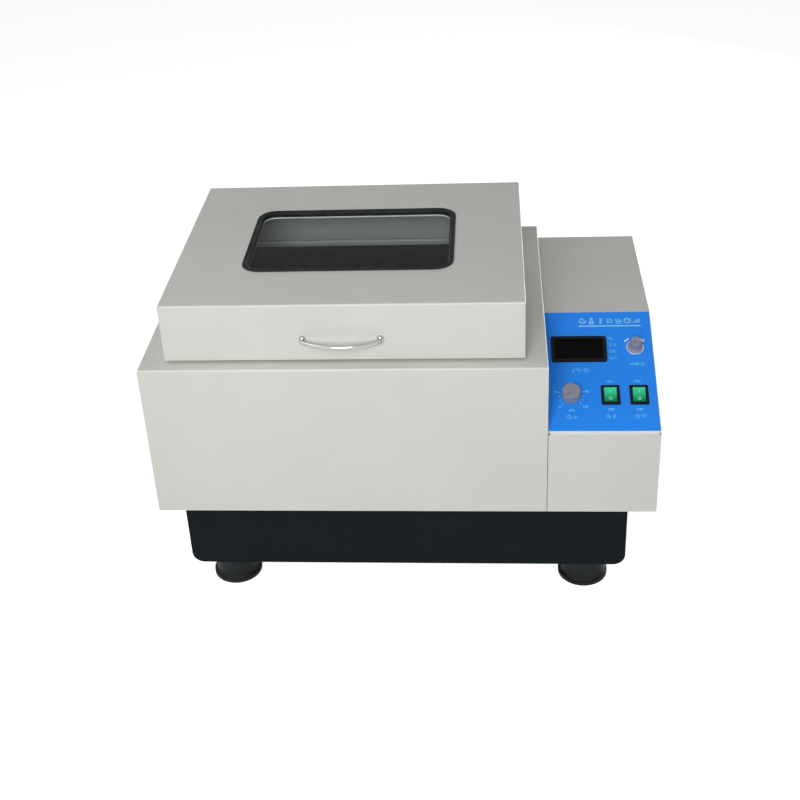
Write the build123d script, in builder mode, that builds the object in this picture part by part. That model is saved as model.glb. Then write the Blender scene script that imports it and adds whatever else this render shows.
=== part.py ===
from build123d import *
from math import atan2, cos, hypot, sin, radians
import os

# Incubated benchtop shaker: a heated chamber with a hinged lid, in which a flask tray is carried
# round a small circle by an eccentric crank and three idler cranks.
# Millimetres, +Z up, the front towards -Y. The origin lies on the bench, below the middle of the
# instrument's overall box.

os.makedirs("parts", exist_ok=True)

# ---- Overall sizes ----
overall_width = 700.0
control_width = 150.0
body_depth = 440.0
seam_gap = 0.8
foot_height = 45.0
base_height = 120.0
chamber_height = 233.0
control_height = 212.0
panel_front_height = 130.0
panel_run = 189.0

# ---- Sheet metal ----
sheet = 1.2
bend_radius = 2.6
rear_flange = 12.0
skirt_flange = 26.0
fit_gap = 0.3
running_gap = 0.06

# ---- Base ----
base_inset_left = 29.0
base_inset_right = 35.0
base_inset_front = 32.0
base_inset_back = 32.0
base_sheet = 2.0
base_corner_radius = 17.0
base_flange = 16.0
foot_inset_x = 57.5
foot_inset_y = 39.5
foot_top_radius = 30.0
foot_waist_radius = 31.5
foot_lip_radius = 36.0
foot_lip_height = 7.0
foot_lip_edge = 1.5
foot_lip_flare = 3.0
foot_recess_radius = 9.0
foot_recess_depth = 14.0
foot_bolt_radius = 4.0
foot_bolt_head_radius = 6.5
foot_bolt_head_height = 5.0
foot_nut_height = 6.5
foot_bolt_end = 3.0
chassis_thickness = 3.0

# ---- Chamber ----
wall_left = 60.0
wall_right = 55.0
wall_front = 45.0
wall_back = 50.0
liner_sheet = 1.0
floor_height = 23.0
liner_corner_radius = 12.0
liner_flange = 9.0

# ---- Lid ----
lid_ledge_left = 35.0
lid_ledge_right = 30.0
lid_ledge_front = 19.5
lid_ledge_back = 25.0
lid_gap = 4.0
lid_height = 83.0
lid_ceiling_depth = 14.0
seal_inset = 8.0
seal_width = 12.0
window_inset_x = 95.0
window_inset_front = 97.0
window_inset_back = 97.5
window_corner_radius = 27.0
gasket_lip = 4.0
gasket_width = 8.5
gasket_rise = 2.2
gasket_drop = 7.0
glass_thickness = 5.0
glass_edge_cover = 3.0
ceiling_window_margin = 12.0

# ---- Lid handle ----
handle_span = 104.0
handle_projection = 27.0
handle_rod_radius = 2.7
handle_foot_radius = 4.6
handle_foot_length = 5.0
handle_neck_length = 9.0
handle_height = 32.0
handle_screw_radius = 2.0
handle_screw_depth = 8.0
screw_head_radius = 3.6
screw_head_height = 2.4

# ---- Lid hinges ----
hinge_inset_left = 75.0
hinge_inset_right = 75.0
hinge_width = 60.0
hinge_middle_width = 20.0
hinge_leaf = 2.0
hinge_knuckle_radius = 5.0
hinge_pin_radius = 2.4
hinge_lid_leaf_height = 36.0
hinge_clearance = 0.4
hinge_edge_margin = 3.0

# ---- Control panel, measured from its lower left corner, up the slope ----
panel_thickness = 0.8
panel_edge_bottom = 2.8
panel_edge_top = 1.0
panel_edge_side = 0.7
display_centre = (47.0, 139.0)
display_size = (77.0, 43.5)
display_corner_radius = 4.0
display_rim = 4.6
display_rise = 2.6
display_filter = 1.8
display_ledge = 1.2
display_board_depth = 14.0
display_post_radius = 2.5
display_post_margin = 1.2
switch_centres = ((86.2, 61.2), (124.7, 61.2))
switch_frame = (25.0, 31.0)
switch_frame_rise = 2.2
switch_body = (21.6, 27.6)
switch_body_depth = 22.0
switch_cavity = (17.4, 23.1)
switch_cavity_depth = 12.0
rocker_size = (16.6, 21.0)
rocker_tilt = 12.0
rocker_pivot_height = 0.2
rocker_end_height = 4.0
rocker_ridge_height = 2.7
rocker_skirt = 1.0
rocker_keel = 6.0
rocker_keel_width = 8.0
rocker_pin_radius = 1.5
rocker_pin_length = 1.6
timer_centre = (33.0, 60.5)
timer_knob_radius = 13.0
timer_knob_height = 12.5
timer_knob_taper = 2.0
timer_flutes = 24
timer_flute_radius = 0.9
timer_body_size = (42.0, 42.0, 30.0)
speed_centre = (124.7, 140.5)
speed_skirt_radius = 12.0
speed_skirt_top_radius = 8.2
speed_skirt_height = 4.5
speed_cap_radius = 6.8
speed_cap_height = 13.0
speed_body_radius = 12.0
speed_body_depth = 11.0
knob_lift = 0.8
knob_wall = 3.0
shaft_radius = 3.0
bush_radius = 4.8
bush_rise = 3.0
bush_length = 14.0
bush_nut_radius = 7.2
bush_nut_height = 1.6

# ---- Rear panel ----
louvre_count = 6
louvre_length = 80.0
louvre_pitch = 13.0
louvre_radius = 4.2
louvre_sheet = 1.0
louvre_top_margin = 34.0
inlet_height = 34.0
inlet_offset = -22.0
inlet_flange = (50.0, 24.0, 3.0)
inlet_body = (28.0, 20.0, 17.0)
inlet_cavity = (24.4, 16.4, 14.5)
inlet_blade = (2.0, 4.0, 11.0)
inlet_blade_spread = 7.0
inlet_blade_rise = 1.0
inlet_chamfer = 4.0
inlet_screw_spacing = 40.0
inlet_screw_radius = 1.75
fuse_spacing = 24.0
fuse_offset = 36.0
fuse_cap_radius = 7.5
fuse_cap_length = 11.0
fuse_barrel_radius = 6.0
fuse_barrel_length = 26.0
fuse_slot = (9.0, 1.4, 2.0)
rear_screw_inset = 6.0
rear_screw_radius = 1.9
rear_screw_head = 3.4
rear_screw_head_height = 1.9
rear_screw_length = 7.0

# ---- Electronics ----
board_size = (100.0, 190.0, 1.6)
board_front_margin = 110.0
standoff_height = 10.0
standoff_radius = 3.5
board_corner = 7.0
transformer_size = (58.0, 48.0, 44.0)
transformer_core = (70.0, 26.0, 38.0)
capacitor_radius = 9.0
capacitor_height = 26.0
heatsink_fins = 7
heatsink_size = (50.0, 36.0, 30.0)
heatsink_base = 3.0
heatsink_fin = 1.4

# ---- Drive: orbit and cranks ----
orbit_radius = 10.0
main_shaft_radius = 10.0
shaft_clearance = 3.0
main_web_radius = 28.0
main_pin_radius = 7.5
web_floor_gap = 5.0
main_web_thickness = 10.0
idler_web_thickness = 8.0
pin_length = 18.0
idler_shaft_radius = 6.0
idler_web_radius = 20.0
idler_pin_radius = 5.0
idler_pin_gap = 0.3
idler_offsets = ((-140.0, -85.0), (140.0, -85.0), (0.0, 105.0))
main_housing_radius = 32.0
main_housing_flange_radius = 48.0
main_housing_length = 62.0
idler_housing_radius = 19.0
idler_housing_flange_radius = 31.0
idler_housing_length = 42.0
housing_flange_thickness = 8.0
main_bearing = (10.0, 21.0, 12.0)
idler_bearing = (6.0, 14.0, 8.0)
bearing_race = 0.28
bearing_end_margin = 4.0

# ---- Drive: pulleys, belt, counterweight and motor ----
pulley_ratio = 3.0
motor_groove_radius = 22.0
pulley_flange = 5.0
pulley_height = 17.0
pulley_groove_width = 12.8
pulley_lift = 11.0
belt_thickness = 3.8
belt_width = 12.0
belt_gap = 0.4
belt_centres = 222.0
pulley_hub_radius = 20.0
pulley_windows = 5
pulley_window_radius = 13.0
weight_radius = 60.0
weight_thickness = 16.0
weight_lift = 7.0
motor_radius = 47.0
motor_length = 78.0
motor_shaft_radius = 6.0
motor_shaft_end = 3.0
motor_shaft_seat = 36.0
motor_ribs = 20
motor_rib_depth = 2.5
motor_bell_height = 16.0
bracket_size = (132.0, 116.0)
bracket_slot = (20.0, 7.0)
bracket_slot_spacing = (102.0, 94.0)

# ---- Tray and flask rack ----
tray_side_clearance = 7.5
tray_thickness = 3.0
tray_lip = 10.0
tray_corner_radius = 14.0
tray_hub_wall = 6.5
tray_main_bearing = (7.5, 17.5, 11.0)
tray_idler_bearing = (5.0, 13.0, 8.0)
hub_gap = 3.0
rack_inset = 6.0
rack_bar = 3.0
rack_bar_height = 24.0
rack_height = 58.0
rack_leg_width = 16.0
spring_radius = 4.0
spring_gap = 1.0
spring_rows = 6
spring_columns = 9

# ---- Air duct ----
duct_depth = 24.0
duct_top = 163.0
duct_foot_gap = 12.0
duct_side_gap = 1.5
duct_sheet = 1.0
duct_corner_radius = 15.0
duct_slot = (5.0, 60.0)
duct_slot_pitch = 14.0
duct_slot_count = 9
duct_slot_offset = 150.0
fan_height = 87.0
fan_radius = 33.0
fan_thickness = 13.0
fan_blades = 18
fan_blade_thickness = 1.2
fan_plate = 1.5
fan_hub_radius = 9.0
fan_shaft_radius = 3.0
fan_blade_length = 14.0
fan_blade_radius = 24.5
fan_blade_angle = 20.0
fan_inlet_slots = 10
fan_inlet_slot = (16.0, 5.0)
fan_inlet_ring = 21.5
fan_motor_radius = 29.0
fan_motor_length = 42.0
fan_shaft_seat = 20.0
fan_wall_gap = 3.0
heater_radius = 3.2
heater_bend = 8.0
heater_inset = 26.0
heater_heights = (28.0, 50.0)
heater_terminal = 16.0
probe_radius = 2.5
probe_inset = 28.0
probe_height = 142.0
probe_reach = 20.0
probe_gland_radius = 5.5
probe_gland_length = 5.0

# ---- Places worked out from the sizes above ----


def mid(span):
    return (span[0] + span[1]) / 2


def length(span):
    return span[1] - span[0]


def inset(span, by):
    return (span[0] + by, span[1] - by)


def block(xs, ys, zs, mode=Mode.ADD):
    """A box between the low and high values given along X, Y and Z."""
    with Locations((mid(xs), mid(ys), mid(zs))):
        Box(length(xs), length(ys), length(zs), mode=mode)


def rounded(xs, ys, radius, mode=Mode.ADD):
    """A rounded rectangle between the low and high values given in the plane of the sketch."""
    with Locations((mid(xs), mid(ys))):
        RectangleRounded(length(xs), length(ys), radius, mode=mode)


def ring(xs, ys, width):
    """A rectangular ring with its outer edge at the values given."""
    with Locations((mid(xs), mid(ys))):
        Rectangle(length(xs), length(ys))
        Rectangle(length(xs) - 2 * width, length(ys) - 2 * width, mode=Mode.SUBTRACT)


front_reach = max(0.0, handle_projection - lid_ledge_front)
rear_reach = fuse_cap_length
x_left = -overall_width / 2
x_right = overall_width / 2
x_seam = x_right - control_width
y_front = -(body_depth + rear_reach - front_reach) / 2
y_back = y_front + body_depth
z_skirt = foot_height + base_height
z_rim = z_skirt + chamber_height
z_control = z_skirt + control_height
z_panel = z_skirt + panel_front_height

chamber_x = (x_left, x_seam - seam_gap / 2)
control_x = (x_seam + seam_gap / 2, x_right)
body_y = (y_front, y_back)

base_x = (x_left + base_inset_left, x_right - base_inset_right)
base_y = (y_front + base_inset_front, y_back - base_inset_back)
z_base_top = z_skirt + sheet
foot_points = [
    (x, y)
    for x in inset(base_x, foot_inset_x)
    for y in inset(base_y, foot_inset_y)
]
z_chassis_top = z_base_top + chassis_thickness
plate_notch = (
    (x_seam - seam_gap - sheet, x_seam + seam_gap + sheet),
    inset(body_y, sheet),
    (z_base_top, z_chassis_top + fit_gap),
)
base_notch = (
    (x_seam - seam_gap - skirt_flange, x_seam + seam_gap + skirt_flange),
    inset(base_y, -fit_gap),
    (z_skirt, z_base_top),
)

inner_x = (x_left + wall_left, x_seam - wall_right)
inner_y = (y_front + wall_front, y_back - wall_back)
z_floor = z_skirt + floor_height
liner_x = inset(inner_x, -liner_sheet)
liner_y = inset(inner_y, -liner_sheet)
z_liner_bottom = z_floor - liner_sheet
z_liner_top = z_rim - sheet

lid_x = (x_left + lid_ledge_left, x_seam - lid_ledge_right)
lid_y = (y_front + lid_ledge_front, y_back - lid_ledge_back)
z_lid = (z_rim + lid_gap, z_rim + lid_gap + lid_height)
z_lid_ceiling = z_lid[1] - lid_ceiling_depth
window_x = inset(lid_x, window_inset_x)
window_y = (lid_y[0] + window_inset_front, lid_y[1] - window_inset_back)
window_hole_x = inset(window_x, gasket_lip)
window_hole_y = inset(window_y, gasket_lip)
window_hole_radius = window_corner_radius - gasket_lip
glass_x = inset(window_x, gasket_width - glass_edge_cover)
glass_y = inset(window_y, gasket_width - glass_edge_cover)
glass_radius = window_corner_radius - gasket_width + glass_edge_cover
z_glass_top = z_lid[1] - sheet
z_handle = z_lid[0] + handle_height
handle_x = (mid(lid_x) - handle_span / 2, mid(lid_x) + handle_span / 2)

hinge_axis_y = lid_y[1] + hinge_knuckle_radius + hinge_clearance
hinge_axis_z = z_rim + hinge_knuckle_radius + hinge_clearance
hinge_centres = (
    lid_x[0] + hinge_inset_left + hinge_width / 2,
    lid_x[1] - hinge_inset_right - hinge_width / 2,
)

panel_rise = z_control - z_panel
panel_slope = atan2(panel_rise, panel_run)
panel_length = hypot(panel_run, panel_rise)
panel_normal = (0, -sin(panel_slope), cos(panel_slope))
panel_plane = Plane(origin=(x_seam, y_front, z_panel), x_dir=(1, 0, 0), z_dir=panel_normal)
panel_span_x = (seam_gap / 2 + panel_edge_side, control_width - panel_edge_side)
panel_span_s = (panel_edge_bottom, panel_length - panel_edge_top)

tray_zone_y = (inner_y[0], inner_y[1] - duct_depth)
drive_x = mid(inner_x)
drive_y = mid(tray_zone_y)
tray_margin = orbit_radius + tray_side_clearance
tray_size_x = length(inner_x) - 2 * tray_margin
tray_size_y = length(tray_zone_y) - 2 * tray_margin
tray_x = (drive_x + orbit_radius - tray_size_x / 2, drive_x + orbit_radius + tray_size_x / 2)
tray_y = (drive_y - tray_size_y / 2, drive_y + tray_size_y / 2)
z_web = z_floor + web_floor_gap
z_main_web_top = z_web + main_web_thickness
z_idler_web_top = z_web + idler_web_thickness
z_pin_top = z_main_web_top + pin_length
z_tray = z_pin_top + hub_gap
z_hub_bottom = z_main_web_top + hub_gap
idler_points = [(drive_x + dx, drive_y + dy) for dx, dy in idler_offsets]
pulley_groove_radius = motor_groove_radius * pulley_ratio
z_pulley = foot_height + base_sheet + pulley_lift
z_weight = z_pulley + pulley_height + weight_lift
motor_point = (drive_x + belt_centres, drive_y)
z_motor = z_pulley + pulley_height + weight_lift
z_motor_top = z_motor + motor_length

rack_x = inset(tray_x, rack_inset)
rack_y = inset(tray_y, rack_inset)
z_rack_top = z_tray + rack_height
z_rail = z_rack_top - rack_bar_height
z_row_spring = z_rack_top - spring_radius - rack_bar
z_column_spring = z_row_spring - 2 * spring_radius - spring_gap

duct_x = inset(inner_x, duct_side_gap)
duct_y = (inner_y[1] - duct_depth, inner_y[1])
z_duct = (z_floor + duct_foot_gap, z_floor + duct_top)
fan_x = drive_x
z_fan = z_floor + fan_height
fan_back_y = inner_y[1] - fan_wall_gap
heater_y = mid(duct_y) + duct_sheet
heater_x = inset(inner_x, heater_inset)
z_heater = (z_floor + heater_heights[0], z_floor + heater_heights[1])
probe_x = inner_x[1] - probe_inset
z_probe = z_floor + probe_height

louvre_x = (mid(control_x) - louvre_length / 2, mid(control_x) + louvre_length / 2)
louvre_tops = [z_control - louvre_top_margin - louvre_pitch * n for n in range(louvre_count)]
rear_panel_x = inset(control_x, sheet + fit_gap)
rear_panel_z = (z_skirt + sheet + fit_gap, z_control - sheet - fit_gap)
inlet_x = mid(control_x) + inlet_offset
z_inlet = z_chassis_top + inlet_height
fuse_points = [
    (mid(control_x) + fuse_offset, z_inlet - fuse_spacing / 2),
    (mid(control_x) + fuse_offset, z_inlet + fuse_spacing / 2),
]
rear_screw_points = [
    (x, z)
    for x in inset(rear_panel_x, rear_screw_inset)
    for z in inset(rear_panel_z, rear_screw_inset)
]


# ---- Base ----

# A welded tub: the sides and bottom are one sheet with rounded lower corners, the ends are flat.
with BuildPart() as base_tub:
    with BuildSketch(Plane.XZ.offset(-base_y[0])):
        with Locations((mid(base_x), (foot_height + z_base_top) / 2)):
            Rectangle(length(base_x), z_base_top - foot_height)
        fillet(vertices().group_by(Axis.Y)[0], base_corner_radius)
    extrude(amount=-length(base_y))
    offset(amount=-base_sheet, openings=faces().sort_by(Axis.Z)[-1])
    with BuildSketch(Plane.XY.offset(z_base_top - base_sheet)):
        ring(base_x, base_y, base_flange)
    extrude(amount=base_sheet)
    with BuildSketch(Plane.XY.offset(foot_height)):
        with Locations(*foot_points):
            Circle(foot_bolt_radius + fit_gap)
    extrude(amount=base_sheet, mode=Mode.SUBTRACT)
base_tub.part.label = "base_tub"
export_step(base_tub.part, "parts/base_tub.step")

# One moulded foot: a slightly tapered rubber drum with a flared lip and a recess for its bolt.
with BuildPart() as foot:
    with BuildSketch(Plane.XZ):
        with BuildLine():
            Polyline(
                (foot_recess_radius, 0),
                (foot_lip_radius - foot_lip_edge, 0),
                (foot_lip_radius, foot_lip_edge),
                (foot_lip_radius, foot_lip_height),
            )
            lip = RadiusArc(
                (foot_lip_radius, foot_lip_height),
                (foot_waist_radius, foot_lip_height + foot_lip_flare),
                foot_lip_flare + foot_lip_edge,
            )
            Polyline(
                lip @ 1,
                (foot_top_radius, foot_height),
                (foot_bolt_radius + fit_gap, foot_height),
                (foot_bolt_radius + fit_gap, foot_recess_depth),
                (foot_recess_radius, foot_recess_depth),
                (foot_recess_radius, 0),
            )
        make_face()
    revolve(axis=Axis.Z)

with BuildPart() as rubber_feet:
    with Locations(*foot_points):
        add(foot.part)
rubber_feet.part.label = "rubber_feet"
export_step(rubber_feet.part, "parts/rubber_feet.step")

# Each foot's bolt, head down in the recess, with its nut inside the tub.
with BuildPart() as foot_bolts:
    with BuildSketch(Plane.XY.offset(foot_recess_depth - foot_bolt_head_height)):
        with Locations(*foot_points):
            RegularPolygon(foot_bolt_head_radius, 6)
    extrude(amount=foot_bolt_head_height)
    with BuildSketch(Plane.XY.offset(foot_recess_depth)):
        with Locations(*foot_points):
            Circle(foot_bolt_radius)
    extrude(amount=foot_height + base_sheet + foot_nut_height + foot_bolt_end - foot_recess_depth)
    with BuildSketch(Plane.XY.offset(foot_height + base_sheet)):
        with Locations(*foot_points):
            RegularPolygon(foot_bolt_head_radius, 6)
    extrude(amount=foot_nut_height)
foot_bolts.part.label = "foot_bolts"
export_step(foot_bolts.part, "parts/foot_bolts.step")

# The steel plate that closes both housings below and carries the whole drive.
with BuildPart() as chassis_plate:
    block(
        (x_left + sheet + fit_gap, x_right - sheet - fit_gap),
        inset(body_y, 2 * sheet + fit_gap),
        (z_base_top, z_chassis_top),
    )
    with Locations((drive_x, drive_y, z_chassis_top)):
        Hole(main_shaft_radius + shaft_clearance, depth=chassis_thickness)
    with Locations(*[(x, y, z_chassis_top) for x, y in idler_points]):
        Hole(idler_shaft_radius + shaft_clearance, depth=chassis_thickness)
chassis_plate.part.label = "chassis_plate"
export_step(chassis_plate.part, "parts/chassis_plate.step")


# ---- Chamber housing, liner and insulation ----

# Folded outer shell: four walls, the flat rim with the chamber's mouth, a return flange below.
with BuildPart() as chamber_housing:
    block(chamber_x, body_y, (z_skirt, z_rim))
    fillet(faces().sort_by(Axis.Z)[-1].edges(), bend_radius)
    offset(amount=-sheet, openings=faces().sort_by(Axis.Z)[0])
    with BuildSketch(Plane.XY.offset(z_skirt)):
        ring(chamber_x, body_y, skirt_flange)
    extrude(amount=sheet)
    block(inner_x, inner_y, (z_rim - sheet, z_rim), mode=Mode.SUBTRACT)
    block(*plate_notch, mode=Mode.SUBTRACT)
    block(*base_notch, mode=Mode.SUBTRACT)
chamber_housing.part.label = "chamber_housing"
export_step(chamber_housing.part, "parts/chamber_housing.step")

# The openings in the liner's back wall for the fan shaft, both heater ends and the probe.
liner_wall_holes = [
    (fan_x, z_fan, fan_shaft_radius + shaft_clearance),
    (heater_x[0], z_heater[0], heater_radius + fit_gap),
    (heater_x[0], z_heater[1], heater_radius + fit_gap),
    (probe_x, z_probe, probe_radius + fit_gap),
]

# Pressed tub with rounded vertical corners and an outward flange under the rim.
with BuildPart() as chamber_liner:
    with BuildSketch(Plane.XY.offset(z_liner_bottom)):
        rounded(liner_x, liner_y, liner_corner_radius + liner_sheet)
    extrude(amount=z_liner_top - z_liner_bottom)
    with BuildSketch(Plane.XY.offset(z_floor)):
        rounded(inner_x, inner_y, liner_corner_radius)
    extrude(amount=z_liner_top - z_floor, mode=Mode.SUBTRACT)
    with BuildSketch(Plane.XY.offset(z_liner_top - liner_sheet)):
        rounded(
            inset(liner_x, -liner_flange),
            inset(liner_y, -liner_flange),
            liner_corner_radius + liner_flange,
        )
        rounded(inner_x, inner_y, liner_corner_radius, mode=Mode.SUBTRACT)
    extrude(amount=liner_sheet)
    with Locations((drive_x, drive_y, z_floor)):
        Hole(main_shaft_radius + shaft_clearance, depth=liner_sheet)
    with Locations(*[(x, y, z_floor) for x, y in idler_points]):
        Hole(idler_shaft_radius + shaft_clearance, depth=liner_sheet)
    for hole_x, hole_z, hole_radius in liner_wall_holes:
        with BuildSketch(Plane.XZ.offset(-inner_y[1])):
            with Locations((hole_x, hole_z)):
                Circle(hole_radius)
        extrude(amount=-liner_sheet, mode=Mode.SUBTRACT)
chamber_liner.part.label = "chamber_liner"
export_step(chamber_liner.part, "parts/chamber_liner.step")

# Mineral wool boards round the liner: one a side and one below it, with room for the fan motor,
# the shafts and the heater ends.
wool_x = inset(chamber_x, sheet + fit_gap)
wool_y = inset(body_y, sheet + fit_gap)
wool_z = (z_chassis_top + fit_gap, z_liner_top - liner_sheet - fit_gap)
pocket_x = inset(liner_x, -fit_gap)
pocket_y = inset(liner_y, -fit_gap)
with BuildPart() as chamber_insulation:
    block(wool_x, wool_y, wool_z)
    block(pocket_x, pocket_y, (z_liner_bottom - fit_gap, z_rim), mode=Mode.SUBTRACT)
    for edge_x in (pocket_x[0] - fit_gap, pocket_x[1]):
        block((edge_x, edge_x + fit_gap), wool_y, wool_z, mode=Mode.SUBTRACT)
    for edge_y in (pocket_y[0] - fit_gap, pocket_y[1]):
        block(pocket_x, (edge_y, edge_y + fit_gap), wool_z, mode=Mode.SUBTRACT)
    with BuildSketch(Plane.XY.offset(z_chassis_top)):
        with Locations((drive_x, drive_y)):
            Circle(main_shaft_radius + 2 * shaft_clearance)
        with Locations(*idler_points):
            Circle(idler_shaft_radius + 2 * shaft_clearance)
    extrude(amount=z_floor - z_chassis_top, mode=Mode.SUBTRACT)
    with BuildSketch(Plane.XZ.offset(-inner_y[1])):
        with Locations((fan_x, z_fan)):
            Circle(fan_motor_radius + fit_gap)
    extrude(amount=-(liner_sheet + fan_motor_length + fit_gap), mode=Mode.SUBTRACT)
    for hole_x, hole_z, hole_radius in liner_wall_holes[1:]:
        with BuildSketch(Plane.XZ.offset(-inner_y[1])):
            with Locations((hole_x, hole_z)):
                Circle(hole_radius)
        extrude(amount=-(liner_sheet + heater_terminal + fit_gap), mode=Mode.SUBTRACT)
chamber_insulation.part.label = "chamber_insulation"
export_step(chamber_insulation.part, "parts/chamber_insulation.step")

# Flat rubber seal on the rim, set back under the lid's edge.
with BuildPart() as lid_seal:
    with BuildSketch(Plane.XY.offset(z_rim)):
        ring(inset(lid_x, seal_inset), inset(lid_y, seal_inset), seal_width)
    extrude(amount=lid_gap - fit_gap)
    fillet(edges().group_by(Axis.Z)[-1], (lid_gap - fit_gap) / 4)
lid_seal.part.label = "lid_seal"
export_step(lid_seal.part, "parts/lid_seal.step")


# ---- Lid ----

# Folded outer shell with the window cut-out, the handle's screw holes and a return flange that
# reaches in to the liner.
with BuildPart() as lid_shell:
    block(lid_x, lid_y, z_lid)
    fillet(faces().sort_by(Axis.Z)[-1].edges(), bend_radius)
    fillet(edges().filter_by(Axis.Z), sheet + fit_gap)
    offset(amount=-sheet, openings=faces().sort_by(Axis.Z)[0])
    with BuildSketch(Plane.XY.offset(z_lid[0])):
        with Locations((mid(lid_x), mid(lid_y))):
            Rectangle(length(lid_x) - 2 * sheet, length(lid_y) - 2 * sheet)
        with Locations((mid(liner_x), mid(liner_y))):
            Rectangle(length(liner_x), length(liner_y), mode=Mode.SUBTRACT)
    extrude(amount=sheet)
    with BuildSketch(Plane.XY.offset(z_lid[1] - sheet)):
        rounded(window_hole_x, window_hole_y, window_hole_radius)
    extrude(amount=sheet, mode=Mode.SUBTRACT)
    with BuildSketch(Plane.XZ.offset(-lid_y[0])):
        with Locations((handle_x[0], z_handle), (handle_x[1], z_handle)):
            Circle(handle_screw_radius + fit_gap)
    extrude(amount=-sheet, mode=Mode.SUBTRACT)
lid_shell.part.label = "lid_shell"
export_step(lid_shell.part, "parts/lid_shell.step")

# Inner pan of the lid, open downwards, with a wider hole round the window.
with BuildPart() as lid_liner:
    with BuildSketch(Plane.XY.offset(z_lid[0])):
        rounded(
            inset(liner_x, fit_gap), inset(liner_y, fit_gap), liner_corner_radius + liner_sheet
        )
    extrude(amount=z_lid_ceiling + liner_sheet - z_lid[0])
    with BuildSketch(Plane.XY.offset(z_lid[0])):
        rounded(
            inset(inner_x, fit_gap), inset(inner_y, fit_gap), liner_corner_radius
        )
    extrude(amount=z_lid_ceiling - z_lid[0], mode=Mode.SUBTRACT)
    with BuildSketch(Plane.XY.offset(z_lid_ceiling)):
        rounded(
            inset(window_x, -ceiling_window_margin),
            inset(window_y, -ceiling_window_margin),
            window_corner_radius + ceiling_window_margin,
        )
    extrude(amount=liner_sheet, mode=Mode.SUBTRACT)
lid_liner.part.label = "lid_liner"
export_step(lid_liner.part, "parts/lid_liner.step")

# Foam boards between the lid's shell and liner: four round the liner's walls and four round the
# window, cut back at the handle screws.
foam_x = inset(lid_x, sheet + fit_gap)
foam_y = inset(lid_y, sheet + fit_gap)
foam_z = (z_lid[0] + sheet + fit_gap, z_lid[1] - sheet - fit_gap)
z_foam_joint = z_lid_ceiling + liner_sheet + fit_gap
opening_x = inset(window_x, -ceiling_window_margin)
opening_y = inset(window_y, -ceiling_window_margin)
with BuildPart() as lid_insulation:
    block(foam_x, foam_y, foam_z)
    fillet(faces().sort_by(Axis.Z)[-1].edges(), bend_radius)
    block(liner_x, liner_y, (foam_z[0], z_foam_joint), mode=Mode.SUBTRACT)
    block(opening_x, opening_y, (z_foam_joint, foam_z[1]), mode=Mode.SUBTRACT)
    block(foam_x, foam_y, (z_foam_joint, z_foam_joint + fit_gap), mode=Mode.SUBTRACT)
    for edge_x in (liner_x[0] - fit_gap, liner_x[1]):
        block((edge_x, edge_x + fit_gap), foam_y, (foam_z[0], z_foam_joint), mode=Mode.SUBTRACT)
    for edge_x in (opening_x[0] - fit_gap, opening_x[1]):
        block((edge_x, edge_x + fit_gap), foam_y, (z_foam_joint, foam_z[1]), mode=Mode.SUBTRACT)
    with BuildSketch(Plane.XZ.offset(-lid_y[0])):
        with Locations((handle_x[0], z_handle), (handle_x[1], z_handle)):
            Circle(screw_head_radius + fit_gap)
    extrude(amount=-(sheet + screw_head_height + fit_gap), mode=Mode.SUBTRACT)
lid_insulation.part.label = "lid_insulation"
export_step(lid_insulation.part, "parts/lid_insulation.step")

# Moulded rubber frame, grooved outside for the lid's sheet and inside for the glass.
with BuildPart() as window_gasket:
    with BuildSketch(Plane.XY.offset(z_lid[1] - gasket_drop)):
        rounded(window_x, window_y, window_corner_radius)
        rounded(
            inset(window_x, gasket_width),
            inset(window_y, gasket_width),
            window_corner_radius - gasket_width,
            mode=Mode.SUBTRACT,
        )
    extrude(amount=gasket_drop + gasket_rise)
    fillet(edges().group_by(Axis.Z)[-1], gasket_rise / 3)
    with BuildSketch(Plane.XY.offset(z_lid[1] - sheet)):
        rounded(window_x, window_y, window_corner_radius)
        rounded(window_hole_x, window_hole_y, window_hole_radius, mode=Mode.SUBTRACT)
    extrude(amount=sheet, mode=Mode.SUBTRACT)
    with BuildSketch(Plane.XY.offset(z_glass_top - glass_thickness)):
        rounded(glass_x, glass_y, glass_radius)
    extrude(amount=glass_thickness, mode=Mode.SUBTRACT)
window_gasket.part.label = "window_gasket"
export_step(window_gasket.part, "parts/window_gasket.step")

with BuildPart() as window_glass:
    with BuildSketch(Plane.XY.offset(z_glass_top - glass_thickness)):
        rounded(glass_x, glass_y, glass_radius)
    extrude(amount=glass_thickness)
window_glass.part.label = "window_glass"
export_step(window_glass.part, "parts/window_glass.step")

# Bow handle: two round feet on the lid's front, joined by an arched rod.
handle_bow_y = lid_y[0] - handle_neck_length
with BuildPart() as lid_handle:
    with BuildSketch(Plane.XZ.offset(-lid_y[0])):
        with Locations((handle_x[0], z_handle), (handle_x[1], z_handle)):
            Circle(handle_foot_radius)
    extrude(amount=handle_foot_length)
    fillet(edges().group_by(Axis.Y)[0], handle_foot_radius / 4)
    with BuildSketch(Plane.XZ.offset(-lid_y[0])):
        with Locations((handle_x[0], z_handle), (handle_x[1], z_handle)):
            Circle(handle_rod_radius)
    extrude(amount=handle_neck_length)
    with Locations(
        (handle_x[0], handle_bow_y, z_handle), (handle_x[1], handle_bow_y, z_handle)
    ):
        Sphere(handle_rod_radius)
    with BuildLine():
        bow = ThreePointArc(
            (handle_x[0], handle_bow_y, z_handle),
            (mid(handle_x), lid_y[0] - handle_projection + handle_rod_radius, z_handle),
            (handle_x[1], handle_bow_y, z_handle),
        )
    with BuildSketch(Plane(origin=bow @ 0, z_dir=bow % 0)):
        Circle(handle_rod_radius)
    sweep()
    with BuildSketch(Plane.XZ.offset(-lid_y[0])):
        with Locations((handle_x[0], z_handle), (handle_x[1], z_handle)):
            Circle(handle_screw_radius)
    extrude(amount=handle_screw_depth, mode=Mode.SUBTRACT)
lid_handle.part.label = "lid_handle"
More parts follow.
